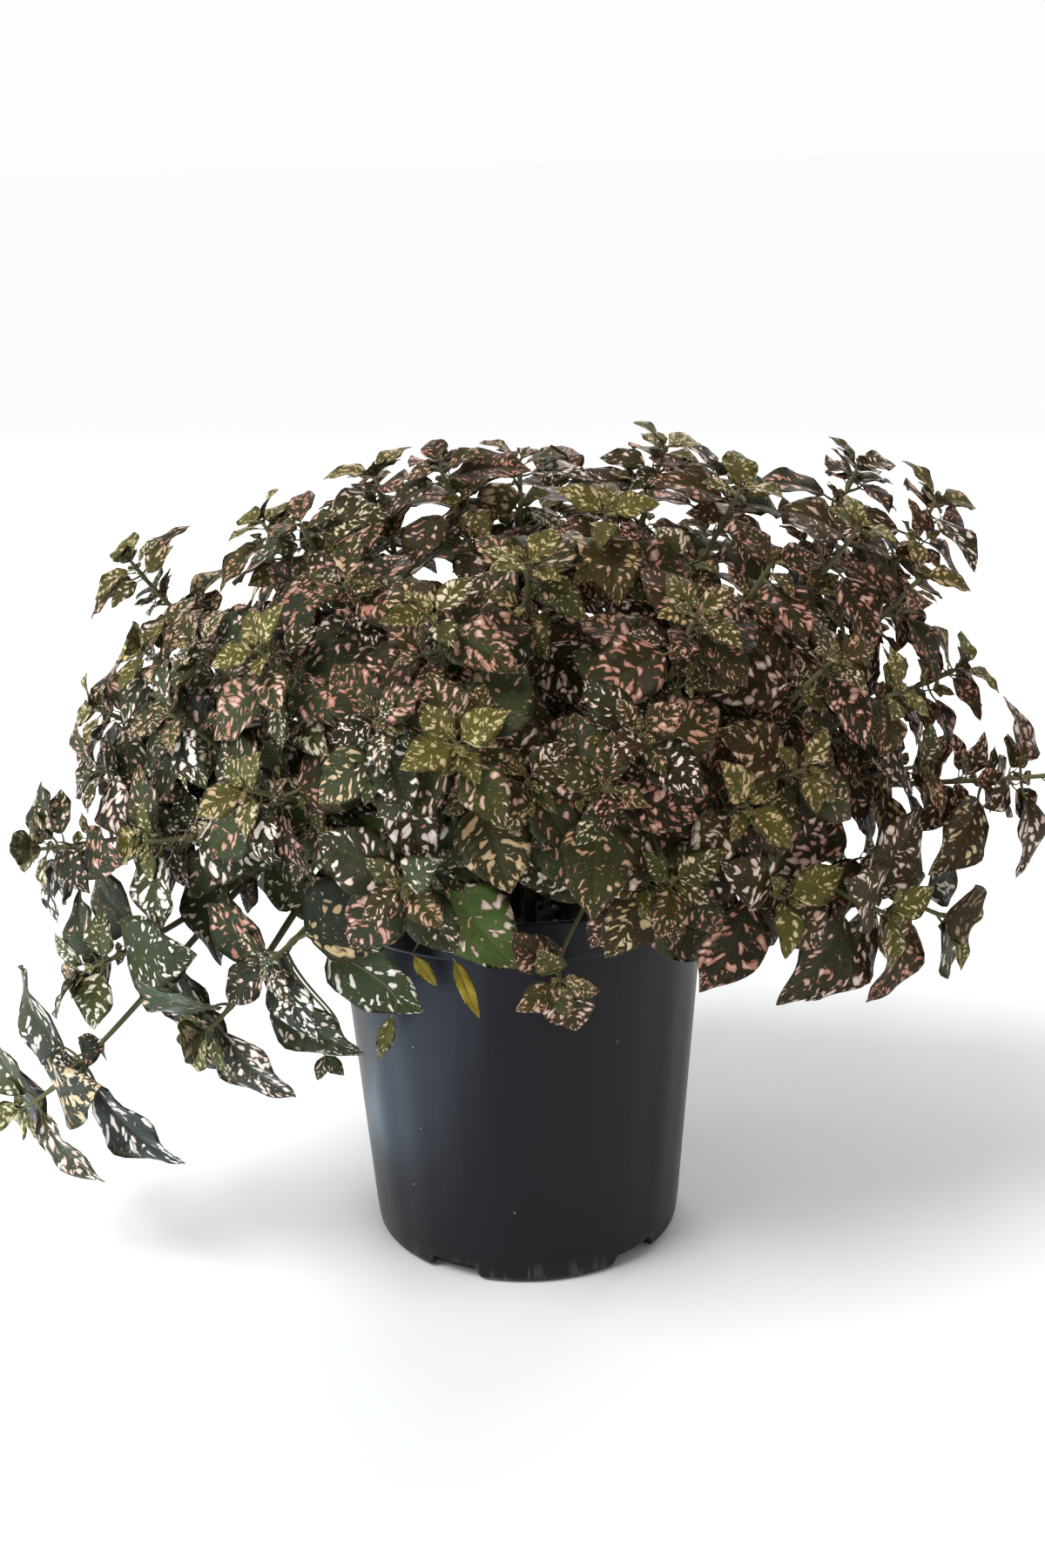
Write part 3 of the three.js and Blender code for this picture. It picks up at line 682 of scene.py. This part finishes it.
def hangLeaf(number, stem, base, tip, width, yellow):
    plant, form = plants[stem], hangingStalk
    base = np.array(base)
    chord = tip - base
    # Where a blade's tip is, along it and up from it
    spine = np.array((1 - leafForm["pullBack"], -0.5 * leafForm["bend"]))
    length = np.linalg.norm(chord) / np.linalg.norm(spine)
    ahead, rise = spine / np.linalg.norm(spine)
    down = unit(chord)
    face = squareTo(down, np.array((0.0, -1.0, 0.25)))
    along, up = ahead * down - rise * face, ahead * face + rise * down
    root = base - along * form["petiole"]
    shares = np.linspace(0.3, 0.95, 40)    # it starts between these shares of a branch
    points = np.concatenate([curvePoint(branch["controls"], shares) for branch in plant["branches"]])
    higher = points[points[:, 2] > base[2] + 6]
    point = higher[np.linalg.norm(higher - root, axis=1).argmin()]
    departure = unit(unit(root - point) + (0, -0.4, 0.3))
    plant["twigs"].append(makeBranch(point, departure, root, form["footRadius"], form["tipRadius"]))
    keys = (90, number)
    place = dict(root=root, along=along, up=up, phase=6.28 * draw(*keys), keys=keys)
    look = dict(yellow=yellow, density=form["density"])
    leaf = dict(petiole=form["petiole"], length=length, width=width / 2, **place, **look)
    plant["leaves"].append(leaf)


for number, hanging in enumerate(hangingLeaves):
    hangLeaf(number, *hanging)

# Some large low leaves have fewer spots and fresher greens
greenDensity = 0.16
greenLeaves = {
    # stem, branch, rank and side: how pale the spots are, and how fresh the green is
    (3, 0, 3, 0): (0.85, 0.25),
    (1, 0, 3, 0): (0.3, 0.9),
    (1, 0, 3, 1): (0.2, 0.7),
}
for plant in plants.values():
    for leaf in plant["leaves"]:
        if leaf["keys"] in greenLeaves:
            pallor, fresh = greenLeaves[leaf["keys"]]
            leaf.update(density=greenDensity, pallor=pallor, fresh=fresh)


# The closed forms of a piece's mesh, with the values that its material reads
class Gathered:
    def __init__(self, *attributes):
        self.points, self.loops, self.sizes = [], [], []
        self.values = {name: [] for name in attributes}
        self.count = 0

    def add(self, points, faces, **values):
        for corners in faces:
            self.loops.append((corners + self.count).ravel())
            self.sizes.append(np.full(len(corners), corners.shape[1]))
        self.points.append(points)
        for name, value in values.items():
            self.values[name].append(np.broadcast_to(value, (len(points), 3)))
        self.count += len(points)

    def addRings(self, rings, ends, **values):
        self.add(np.concatenate([rings.reshape(-1, 3), ends]), ringFaces(*rings.shape[:2]), **values)

    def makePiece(self, name, material):
        mesh = bpy.data.meshes.new(name)
        points = np.concatenate(self.points) * metre
        loops, sizes = np.concatenate(self.loops), np.concatenate(self.sizes)
        mesh.vertices.add(len(points))
        mesh.loops.add(len(loops))
        mesh.polygons.add(len(sizes))
        mesh.vertices.foreach_set("co", points.ravel())
        mesh.loops.foreach_set("vertex_index", loops)
        mesh.polygons.foreach_set("loop_start", np.cumsum(sizes) - sizes)
        mesh.polygons.foreach_set("loop_total", sizes)
        for attribute, values in self.values.items():
            layer = mesh.attributes.new(attribute, "FLOAT_VECTOR", "POINT")
            layer.data.foreach_set("vector", np.concatenate(values).astype(np.float32).ravel())
        mesh.update(calc_edges=True)
        mesh.shade_smooth()
        mesh.materials.append(material)
        return addObject(name, mesh)


# The faces that join rings of corners and close both ends on the last two points
def ringFaces(rows, around):
    grid = np.arange(rows * around).reshape(rows, around)
    after = np.roll(grid, -1, axis=1)
    sides = np.stack([grid[:-1], after[:-1], after[1:], grid[1:]], axis=-1).reshape(-1, 4)
    low, high = rows * around, rows * around + 1
    foot = np.stack([after[0], grid[0], np.full(around, low)], axis=-1)
    top = np.stack([grid[-1], after[-1], np.full(around, high)], axis=-1)
    return [sides, np.concatenate([foot, top])]


# A blade's template: how far each corner is along and across it, and on which face
def bladeTemplate(rows, columns):
    across = np.array(columns)
    around = np.concatenate([across, across[-2:0:-1]])
    face = np.concatenate([np.where(abs(across) < 1, 1.0, 0.0), np.full(len(across) - 2, -1.0)])
    along = np.linspace(0.012, 0.988, rows)
    grid = np.broadcast_arrays(along[:, None], around, face)
    alongAll, acrossAll, faceAll = (np.append(values.ravel(), (0, 0)) for values in grid)
    alongAll[-1] = 1.0
    return {"along": alongAll, "across": acrossAll, "face": faceAll, "faces": ringFaces(rows, len(around))}


bladeMesh = {
    "large": bladeTemplate(16, (-1, -0.75, -0.42, -0.1, 0, 0.1, 0.42, 0.75, 1)),
    "medium": bladeTemplate(12, (-1, -0.6, -0.12, 0, 0.12, 0.6, 1)),
    "small": bladeTemplate(9, (-1, -0.5, 0, 0.5, 1)),
    "largeFrom": 27,
    "mediumFrom": 13,
    "veinAdvance": 0.85,     # how far the side veins run forwards on their way to the margin
    "thickness": 0.30,
    "midribDepth": 0.55,
    "midribWidth": 0.09,
    "quilting": 0.007,
    "crimp": 0.008,
    "crimpSideways": 0.004,
}
# Low leaves are sparser, and paler at the sides; left ones are cooler, denser and paler, and right ones
# browner and darker, which is painted light from the left
leafVariety = {
    "warmth": (0.50, 0.5),     # the middle, and how much it varies
    "density": (0.50, 0.8),
    "lowDensity": 0.2,
    "litLeftDensity": 0.0007,
    "pallor": (-0.12, 0.6),
    "asidePallor": 0.65,
    "litLeftPallor": 0.0012,
    "fineness": (0.9, 1.4),
    "spotsAlong": (8, 0.125),     # rows of spots on every leaf, and more by its length
    "spotsAcross": (1.55, 0.019),
}


def leafLook(leaf):
    v, keys, length = leafVariety, leaf["keys"], leaf["length"]
    x, y, z = leaf["root"]
    seed = draw(*keys, 31)
    # The x term paints light from the left: cooler leaves on the lit left, browner and darker ones on the
    # right
    warmth = clamp(grade(v["warmth"], draw(*keys, 33) - 0.5) + x / 400 + (z - 220) / 700)
    low = clamp((225 - z) / 60)
    # Painted light from the left: leaves further left get denser and paler spots
    towardsLitLeft = max(-x, 0) * (1 - 0.8 * low)
    aside = low * clamp(abs(x) / 90) * clamp((z - 70) / 60, 0.1)
    density = grade(v["density"], draw(*keys, 34) - 0.5)
    density += v["litLeftDensity"] * towardsLitLeft - v["lowDensity"] * low * draw(*keys, 35)
    pallor = grade(v["pallor"], draw(*keys, 36) ** 2)
    pallor += v["asidePallor"] * aside * draw(*keys, 37) + v["litLeftPallor"] * towardsLitLeft
    finer = mix(*v["fineness"], draw(*keys, 38) ** 1.5)
    rows, columns = [grade(v[name], length) * finer for name in ("spotsAlong", "spotsAcross")]
    own = {"age": 1.0, "density": density, "pallor": pallor, "yellow": 0.0, "fresh": 0.0, **leaf}
    return {
        "leafLook": (seed, clamp(own["age"]), warmth),
        "leafSpots": (clamp(own["density"], 0.05), clamp(own["pallor"]), own["yellow"]),
        "spotGrid": (rows, columns, own["fresh"]),
    }


def addBlade(leaves, leaf):
    form, size = bladeMesh, leaf["length"]
    kind = "large" if size > form["largeFrom"] else "medium" if size > form["mediumFrom"] else "small"
    q, side, face = [form[kind][name] for name in ("along", "across", "face")]
    s = q + form["veinAdvance"] * abs(side) * q * (1 - q)
    points = bladePoint(leaf, s, side)
    across = np.cross(leaf["along"], leaf["up"])
    normal = unit(leaf["up"] + leaf["along"] * leafForm["bend"] * s[:, None])
    veins = np.cos(2 * np.pi * leafFinish["veinPairs"] * q) * np.sin(np.pi * abs(side)) * np.sin(np.pi * q)
    lift = face * form["thickness"] * 0.5 * (1 - abs(side) ** 3) - form["quilting"] * size * veins
    midrib = np.maximum(1 - abs(side) / form["midribWidth"], 0) * (1 - 0.75 * q) * min(size / 30, 1)
    lift -= form["midribDepth"] * midrib * np.where(face < 0, 1.0, 0.45)
    crimp = np.sin(15 * q + 3 * leaf["phase"] + 2 * side) * abs(side) ** 3 * np.sin(np.pi * q)
    lift += form["crimp"] * size * crimp
    sideways = form["crimpSideways"] * size * crimp * np.sign(side)
    points = points + normal * lift[:, None] + across * sideways[:, None]
    place = np.stack([q, side, face], axis=-1)
    leaves.add(points, form[kind]["faces"], bladePlace=place, **leafLook(leaf))


# A round stem along a line of points
def addTube(wood, line, radii, sides, age, seed, reference):
    tangents = unit(np.gradient(line, axis=0))
    across = unit(reference - tangents * (tangents @ reference)[:, None])
    over = np.cross(tangents, across)
    angles = circle(sides)
    ring = across[:, None] * np.cos(angles)[:, None] + over[:, None] * np.sin(angles)[:, None]
    points = line[:, None] + ring * np.asarray(radii)[:, None, None]
    ends = [line[0] - tangents[0] * radii[0] * 0.4, line[-1] + tangents[-1] * radii[-1] * 0.8]
    distance = np.append(0, np.cumsum(np.linalg.norm(np.diff(line, axis=0), axis=1)))
    place = np.stack(np.broadcast_arrays(age, distance, seed), axis=-1)
    placeAll = np.concatenate([np.repeat(place, sides, axis=0), place[:1], place[-1:]])
    wood.addRings(points, ends, barkPlace=placeAll)


woodForm = {
    "ringSpacing": 3.0,
    "knot": 0.18,        # how much thicker a branch is where leaves grow
    "knotLength": 1.8,
}


def addBranch(wood, branch, seed, sides, buried=False):
    form, length = woodForm, branch["length"]
    shares = np.linspace(0, 1, max(6, round(length / form["ringSpacing"])))
    line = curvePoint(branch["controls"], shares)
    radii = mix(branch["footRadius"], branch["tipRadius"], shares)
    for seat in branch["seats"]:
        radii = radii * (1 + form["knot"] * np.exp(-((shares - seat) * length / form["knotLength"]) ** 2))
    radii = radii * mix(0.35, 1, np.clip((1 - shares) * length / 8, 0, 1))    # thin at the tip
    if buried:
        line = np.concatenate([[line[0] - (0, 0, bush["buriedFoot"])], line])
        radii = np.append(radii[0] * 1.1, radii)
        shares = np.append(0, shares)
    age = (1 - shares) * clamp(length / 150, 0.25)
    addTube(wood, line, radii, sides, age, seed, branch["planeNormal"])


def addPetiole(wood, leaf):
    steps = np.linspace(0, 1, 5)
    base = leaf["petiole"] + 0.03 * leaf["length"]
    bow = leaf["up"] * (0.10 * leaf["petiole"])
    line = leaf["root"] + leaf["along"] * (steps * base)[:, None] - bow * (4 * steps * (1 - steps))[:, None]
    thick = clamp(leaf["length"] / 40, 0.35)
    addTube(wood, line, mix(0.85, 0.5, steps) * thick, 5, 0.22 * thick, draw(*leaf["keys"], 41), leaf["up"])


leafSkin = makeMaterial("spottedLeaf", leafFinish, paintLeaf)
bark = makeMaterial("stemBark", woodFinish, paintWood)
for stemIndex, (name, plant) in enumerate(plants.items()):
    leaves = Gathered("bladePlace", "leafLook", "leafSpots", "spotGrid")
    wood = Gathered("barkPlace")
    for i, branch in enumerate(plant["branches"]):
        addBranch(wood, branch, draw(stemIndex, i, 42), 8, buried=i == 0)
    for i, twig in enumerate(plant["twigs"]):
        addBranch(wood, twig, draw(stemIndex, i, 43), 6)
    for leaf in plant["leaves"]:
        addBlade(leaves, leaf)
        addPetiole(wood, leaf)
    for kind, gathered, material in (("leaves", leaves, leafSkin), ("wood", wood, bark)):
        piece = gathered.makePiece(f"{name}_{kind}", material)
        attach(piece, "root")
        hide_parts(name)
print("stems and leaves built")

potShape = {
    "height": 170.0,
    "rimRadius": 84.0,
    "collarHeight": 17.0,
    "bodyTopRadius": 78.7,
    "baseRadius": 66.5,
    "baseRounding": 4.0,
    "wall": 1.8,
    "floor": 2.5,
    "sides": 144,
    "unevenness": 0.28,    # of the wall between collar and foot
    "waves": ((5, 0.4), (9, 2.1), (16, 4.0), (23, 1.2)),    # how many go round it, and their turns
    "notches": 5,
    "firstNotchDegrees": -29,
    "notchWidth": 27.0,
    "notchTopWidth": 20.0,
    "notchHeight": 7.0,
    "notchDepth": 11.0,
}


def arc(centre, radius, fromDegrees, toDegrees, steps):
    angles = np.radians(np.linspace(fromDegrees, toDegrees, steps))
    return [(centre[0] + radius * math.cos(a), centre[1] + radius * math.sin(a)) for a in angles]


def bodyRadius(z):
    share = z / (potShape["height"] - potShape["collarHeight"])
    return mix(potShape["baseRadius"], potShape["bodyTopRadius"], share)


def potProfile():
    top, base, rim, wall, floor, rounding = [
        potShape[name] for name in ("height", "baseRadius", "rimRadius", "wall", "floor", "baseRounding")
    ]
    collarFoot, lip = top - potShape["collarHeight"], wall / 2
    return np.array([
        (0, 1.2), (base - 12, 1.2), (base - 10, 0),
        *arc((base - rounding, rounding), rounding, -90, -5, 7),
        *[(bodyRadius(z), z) for z in np.linspace(12, collarFoot - 1.5, 12)],
        *arc((rim - 2.2, collarFoot + 1.6), 2.0, -70, 0, 5),
        (rim - 0.1, top - 6),
        *arc((rim - lip, top - lip), lip, 0, 180, 9),
        (rim - wall - 0.8, collarFoot + wall + 1),
        *[(bodyRadius(z) - wall, z) for z in np.linspace(collarFoot, 8, 5)],
        *arc((base - wall - 3, floor + 3), 3, 0, -90, 4),
        (0, floor),
    ])


def turnedPot():
    profile = potProfile()
    rim = profile[1:-1]
    angles = circle(potShape["sides"])
    waves = sum(np.sin(count * angles + turn) for count, turn in potShape["waves"]) / 2
    rise = np.clip(rim[:, 1:] / (potShape["height"] - potShape["collarHeight"]), 0, 1)
    radii = rim[:, :1] + potShape["unevenness"] * waves * np.sin(np.pi * rise) ** 0.7
    places = np.broadcast_arrays(radii * np.sin(angles), radii * np.cos(angles), rim[:, 1:])
    ends = [(0, 0, profile[0][1]), (0, 0, profile[-1][1])]
    body = Gathered()
    body.addRings(np.stack(places, axis=-1), ends)
    return body


def cutNotches(piece):
    p = potShape
    foot, top, height = p["notchWidth"] / 2, p["notchTopWidth"] / 2, p["notchHeight"]
    outline = [(-foot, -1), (foot, -1), (top, height), (-top, height)]
    near, far = -(p["baseRadius"] + 5), p["notchDepth"] - p["baseRadius"]
    corners, faces = [], []
    for i in range(p["notches"]):
        turn = Matrix.Rotation(math.radians(p["firstNotchDegrees"] + i * 360 / p["notches"]), 4, "Z")
        a, b, c, d = range(8 * i, 8 * i + 4)
        faces += [(a, b, c, d), (d + 4, c + 4, b + 4, a + 4)]
        faces += [(end, start, start + 4, end + 4) for start, end in ((a, b), (b, c), (c, d), (d, a))]
        corners += [turn @ Vector((x, y, z)) * metre for y in (near, far) for x, z in outline]
    mesh = bpy.data.meshes.new("notchCutter")
    mesh.from_pydata(corners, [], faces)
    tool = addObject("notchCutter", mesh)
    cut = piece.modifiers.new("notches", "BOOLEAN")
    cut.operation = "DIFFERENCE"
    cut.solver = "EXACT"
    cut.object = tool
    evaluated = piece.evaluated_get(bpy.context.evaluated_depsgraph_get())
    piece.data = bpy.data.meshes.new_from_object(evaluated)
    piece.modifiers.clear()
    bpy.data.objects.remove(tool)


potFinish = {
    "plastic": (0.0062, 0.0050, 0.0068),
    # Scuffed plastic, and the pale bluish tone of the painted sheen streaks
    "scuffedAndSheen": (0.020, 0.021, 0.024),
    "dust": (0.32, 0.31, 0.29),
    "roughness": 0.33,
    "bump": (0.10, 0.0006),
    "speckScale": 70.0,
    "speckRadii": (0.018, 0.034),
    "constant": {"Specular IOR Level": 0.22, "Specular Tint": (0.90, 0.92, 1.0)},
}


def paintPot(start, look):
    place = start.objectPlace()
    x, y, z = place.parts()
    clouds = start.noise(place, 22.0, detail=4.0, roughness=0.6)
    streakPlace = start.join(x * 260, y * 260, z * 9)
    streaks = start.noise(streakPlace, detail=3.0, roughness=0.6)
    rim = z.step(0.1665, 0.1698)
    foot = 1 - z.step(0.0, 0.012)
    # Rubbed wear at the rim and foot, and vertical streaks down the wall that are painted sheen
    wearAndSheen = (rim * 0.7 + foot * 0.5) * clouds.step(0.4, 0.62) + streaks.step(0.58, 0.78) * 0.25
    specks = 1 - start.cells(place, look["speckScale"]).step(*look["speckRadii"])
    fewer = start.noise(place, 35.0, detail=0.0)
    dust = specks * fewer.step(0.50, 0.56) + foot * streaks.step(0.5, 0.7) * 0.25
    plastic = wearAndSheen.blend(look["plastic"], look["scuffedAndSheen"])
    plastic = dust.blend(plastic, look["dust"])
    grain = start.noise(place, 420.0)
    roughness = look["roughness"] + clouds * 0.10 + wearAndSheen * 0.18
    return {"Base Color": plastic, "Roughness": roughness, "Normal": (grain + clouds).bump(*look["bump"])}


pot = turnedPot().makePiece("nursery_pot", makeMaterial("blackNurseryPlastic", potFinish, paintPot))
cutNotches(pot)
pot.data.shade_smooth()
pot.data.set_sharp_from_angle(angle=math.radians(38))
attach(pot, "root")
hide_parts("pot")
print("pot turned and notched")

soilShape = {
    "top": 148.0,
    "bottom": 2.8,
    "relief": 2.4,
    "rings": 34,
    "around": 120,
    "edgeGap": 0.5,
    "crumbs": 900,
    "crumbSize": (0.8, 3.4),
    "perliteShare": 0.07,
    "waves": ((38, 1.0), (17, 0.7), (8, 0.55), (3.6, 0.4)),    # their lengths and heights
    "highest": 2.2,
}
soilFinish = {
    # The peat's own dark brown, made darker still as painted shade inside the pot under the bush
    "shadedPeat": (0.012, 0.0085, 0.006),
    "bark": (0.040, 0.025, 0.014),
    "perlite": (0.46, 0.45, 0.41),
    "roughness": 0.78,
    "bump": (0.8, 0.0008),
    "constant": {"Specular IOR Level": 0.25},
}


def paintSoil(start, look):
    place = start.objectPlace()
    kind = start.attribute("crumbKind")[0]
    lumps = start.noise(place, 260.0, detail=4.0, roughness=0.65)
    soil = lumps.step(0.35, 0.75).blend(look["shadedPeat"], look["bark"])
    soil = (kind.step(0.1, 0.6) * 0.6).blend(soil, look["bark"])
    soil = kind.step(0.9, 0.95).blend(soil, look["perlite"])
    fibres = start.noise(place, 900.0, detail=3.0, roughness=0.7)
    bump = (fibres + lumps).bump(*look["bump"])
    return {"Base Color": soil, "Roughness": look["roughness"] + fibres * 0.18, "Normal": bump}


def soilHeight(x, y, rng):
    height = np.zeros_like(x)
    for wavelength, amount in soilShape["waves"]:
        for _ in range(4):
            turn, phase = rng.uniform(0, 2 * np.pi, 2)
            ahead = x * math.cos(turn) + y * math.sin(turn)
            height += amount * np.sin(ahead * 2 * np.pi / wavelength + phase)
    return soilShape["relief"] * 0.22 * height


def makeSoil():
    s = soilShape
    rng = np.random.default_rng(71)
    soil = Gathered("crumbKind")
    edge = bodyRadius(s["top"]) - potShape["wall"] - s["edgeGap"]
    foot = bodyRadius(s["bottom"]) - potShape["wall"] - s["edgeGap"] - 2
    angles = circle(s["around"])
    radii = np.concatenate([[foot], edge * np.linspace(1, 0.02, s["rings"])])
    x, y = radii[:, None] * np.sin(angles), radii[:, None] * np.cos(angles)
    z = s["top"] + np.minimum(soilHeight(x, y, rng), s["highest"])
    z[1] = s["top"] - 1.5
    z[0] = s["bottom"]
    ends = [(0, 0, s["bottom"]), (0, 0, z[-1].mean())]
    soil.addRings(np.stack([x, y, z], axis=-1), ends, crumbKind=(0, 0, 0))
    ball = bmesh.new()
    bmesh.ops.create_icosphere(ball, subdivisions=1, radius=1.0)
    corners = np.array([vert.co for vert in ball.verts])
    faces = np.array([[vert.index for vert in face.verts] for face in ball.faces])
    ball.free()
    for _ in range(s["crumbs"]):
        away = edge * math.sqrt(rng.uniform()) * 0.97
        turn = rng.uniform(0, 2 * np.pi)
        size = mix(*s["crumbSize"], rng.uniform() ** 2.5)
        stretch = size * rng.uniform(0.35, 1.0, 3) * (1, 1, 0.8)
        spin = np.array(Matrix.Rotation(rng.uniform(0, np.pi), 3, Vector(rng.normal(size=3))))
        lump = (corners * rng.uniform(0.75, 1.2, (len(corners), 1)) * stretch) @ spin.T
        centre = (away * math.sin(turn), away * math.cos(turn), s["top"] + rng.uniform(-0.6, 1.0))
        kind = 1.0 if rng.uniform() < s["perliteShare"] else 0.7 * rng.uniform()
        soil.add(lump + centre, [faces], crumbKind=(kind, 0, 0))
    return soil.makePiece("potting_soil", makeMaterial("pottingMix", soilFinish, paintSoil))


soil = makeSoil()
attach(soil, "root")
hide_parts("soil")
print("soil laid")

studio = {
    "floorSize": 30.0,
    "floor": {"Base Color": (0.94, 0.94, 0.935), "Roughness": 0.8, "Specular IOR Level": 0.2},
    "horizon": (0.98, 0.985, 1.0),
    "zenith": (0.44, 0.45, 0.46),
    "horizonTop": 0.05,      # the sine of the height where the sky's pale band starts to fade
    "fadeTop": 0.18,
    "keyFrom": (-0.48, -0.30, 0.82),
    "keyStrength": 2.3,
    "keyDegrees": 30,
    "lights": (
        # name, place, aim and size in metres, radiance and colour
        ("window", (-1.1, -0.25, 0.30), (0, 0, 0.18), (0.8, 0.7), 3.0, (0.74, 0.88, 1.0)),
        ("lowSheet", (-0.42, -0.24, 0.004), (-0.42, -0.24, 1.0), (0.60, 0.62), 2.0, (0.58, 0.80, 1.0)),
        ("lamp", (1.5, -1.0, 0.6), (0, 0, 0.18), (0.14, 1.2), 0.5, (1.0, 0.90, 0.78)),
        ("rearSheet", (0.3, 1.6, 1.1), (0, 0, 0.2), (1.8, 1.2), 2.8, (1.0, 0.99, 0.97)),
    ),
}


def makeStudio():
    half = studio["floorSize"] / 2
    mesh = bpy.data.meshes.new("floor")
    corners = [(-half, -half, 0), (half, -half, 0), (half, half, 0), (-half, half, 0)]
    mesh.from_pydata(corners, [], [(0, 1, 2, 3)])
    floor = addObject("floor", mesh)
    mesh.materials.append(makeMaterial("paleFloor", {"constant": studio["floor"]}, lambda start, look: {}))
    world = bpy.data.worlds.new("studio")
    world.use_nodes = True
    sky = Signal(world.node_tree)
    height = sky.node("ShaderNodeTexCoord", {}, {}).parts()[2]
    fade = height.step(studio["horizonTop"], studio["fadeTop"])
    shade = fade.blend(studio["horizon"], studio["zenith"])
    sky.feed(world.node_tree.nodes["Background"], {"Color": shade})
    bpy.context.scene.world = world
    key = bpy.data.lights.new("key", "SUN")
    key.energy = studio["keyStrength"]
    key.angle = math.radians(studio["keyDegrees"])
    keyLamp = addObject("key", key)
    keyLamp.rotation_euler = Vector(studio["keyFrom"]).to_track_quat("Z", "Y").to_euler()
    for name, place, aim, size, radiance, tint in studio["lights"]:
        data = bpy.data.lights.new(name, "AREA")
        data.shape = "RECTANGLE"
        data.size, data.size_y = size
        data.energy = radiance * math.pi * size[0] * size[1]
        data.color = tint
        lamp = addObject(name, data)
        lamp.location = place
        lamp.rotation_euler = (Vector(aim) - Vector(place)).to_track_quat("-Z", "Y").to_euler()
        lamp.visible_camera = False
    bpy.context.scene.view_settings.view_transform = "Standard"


makeStudio()
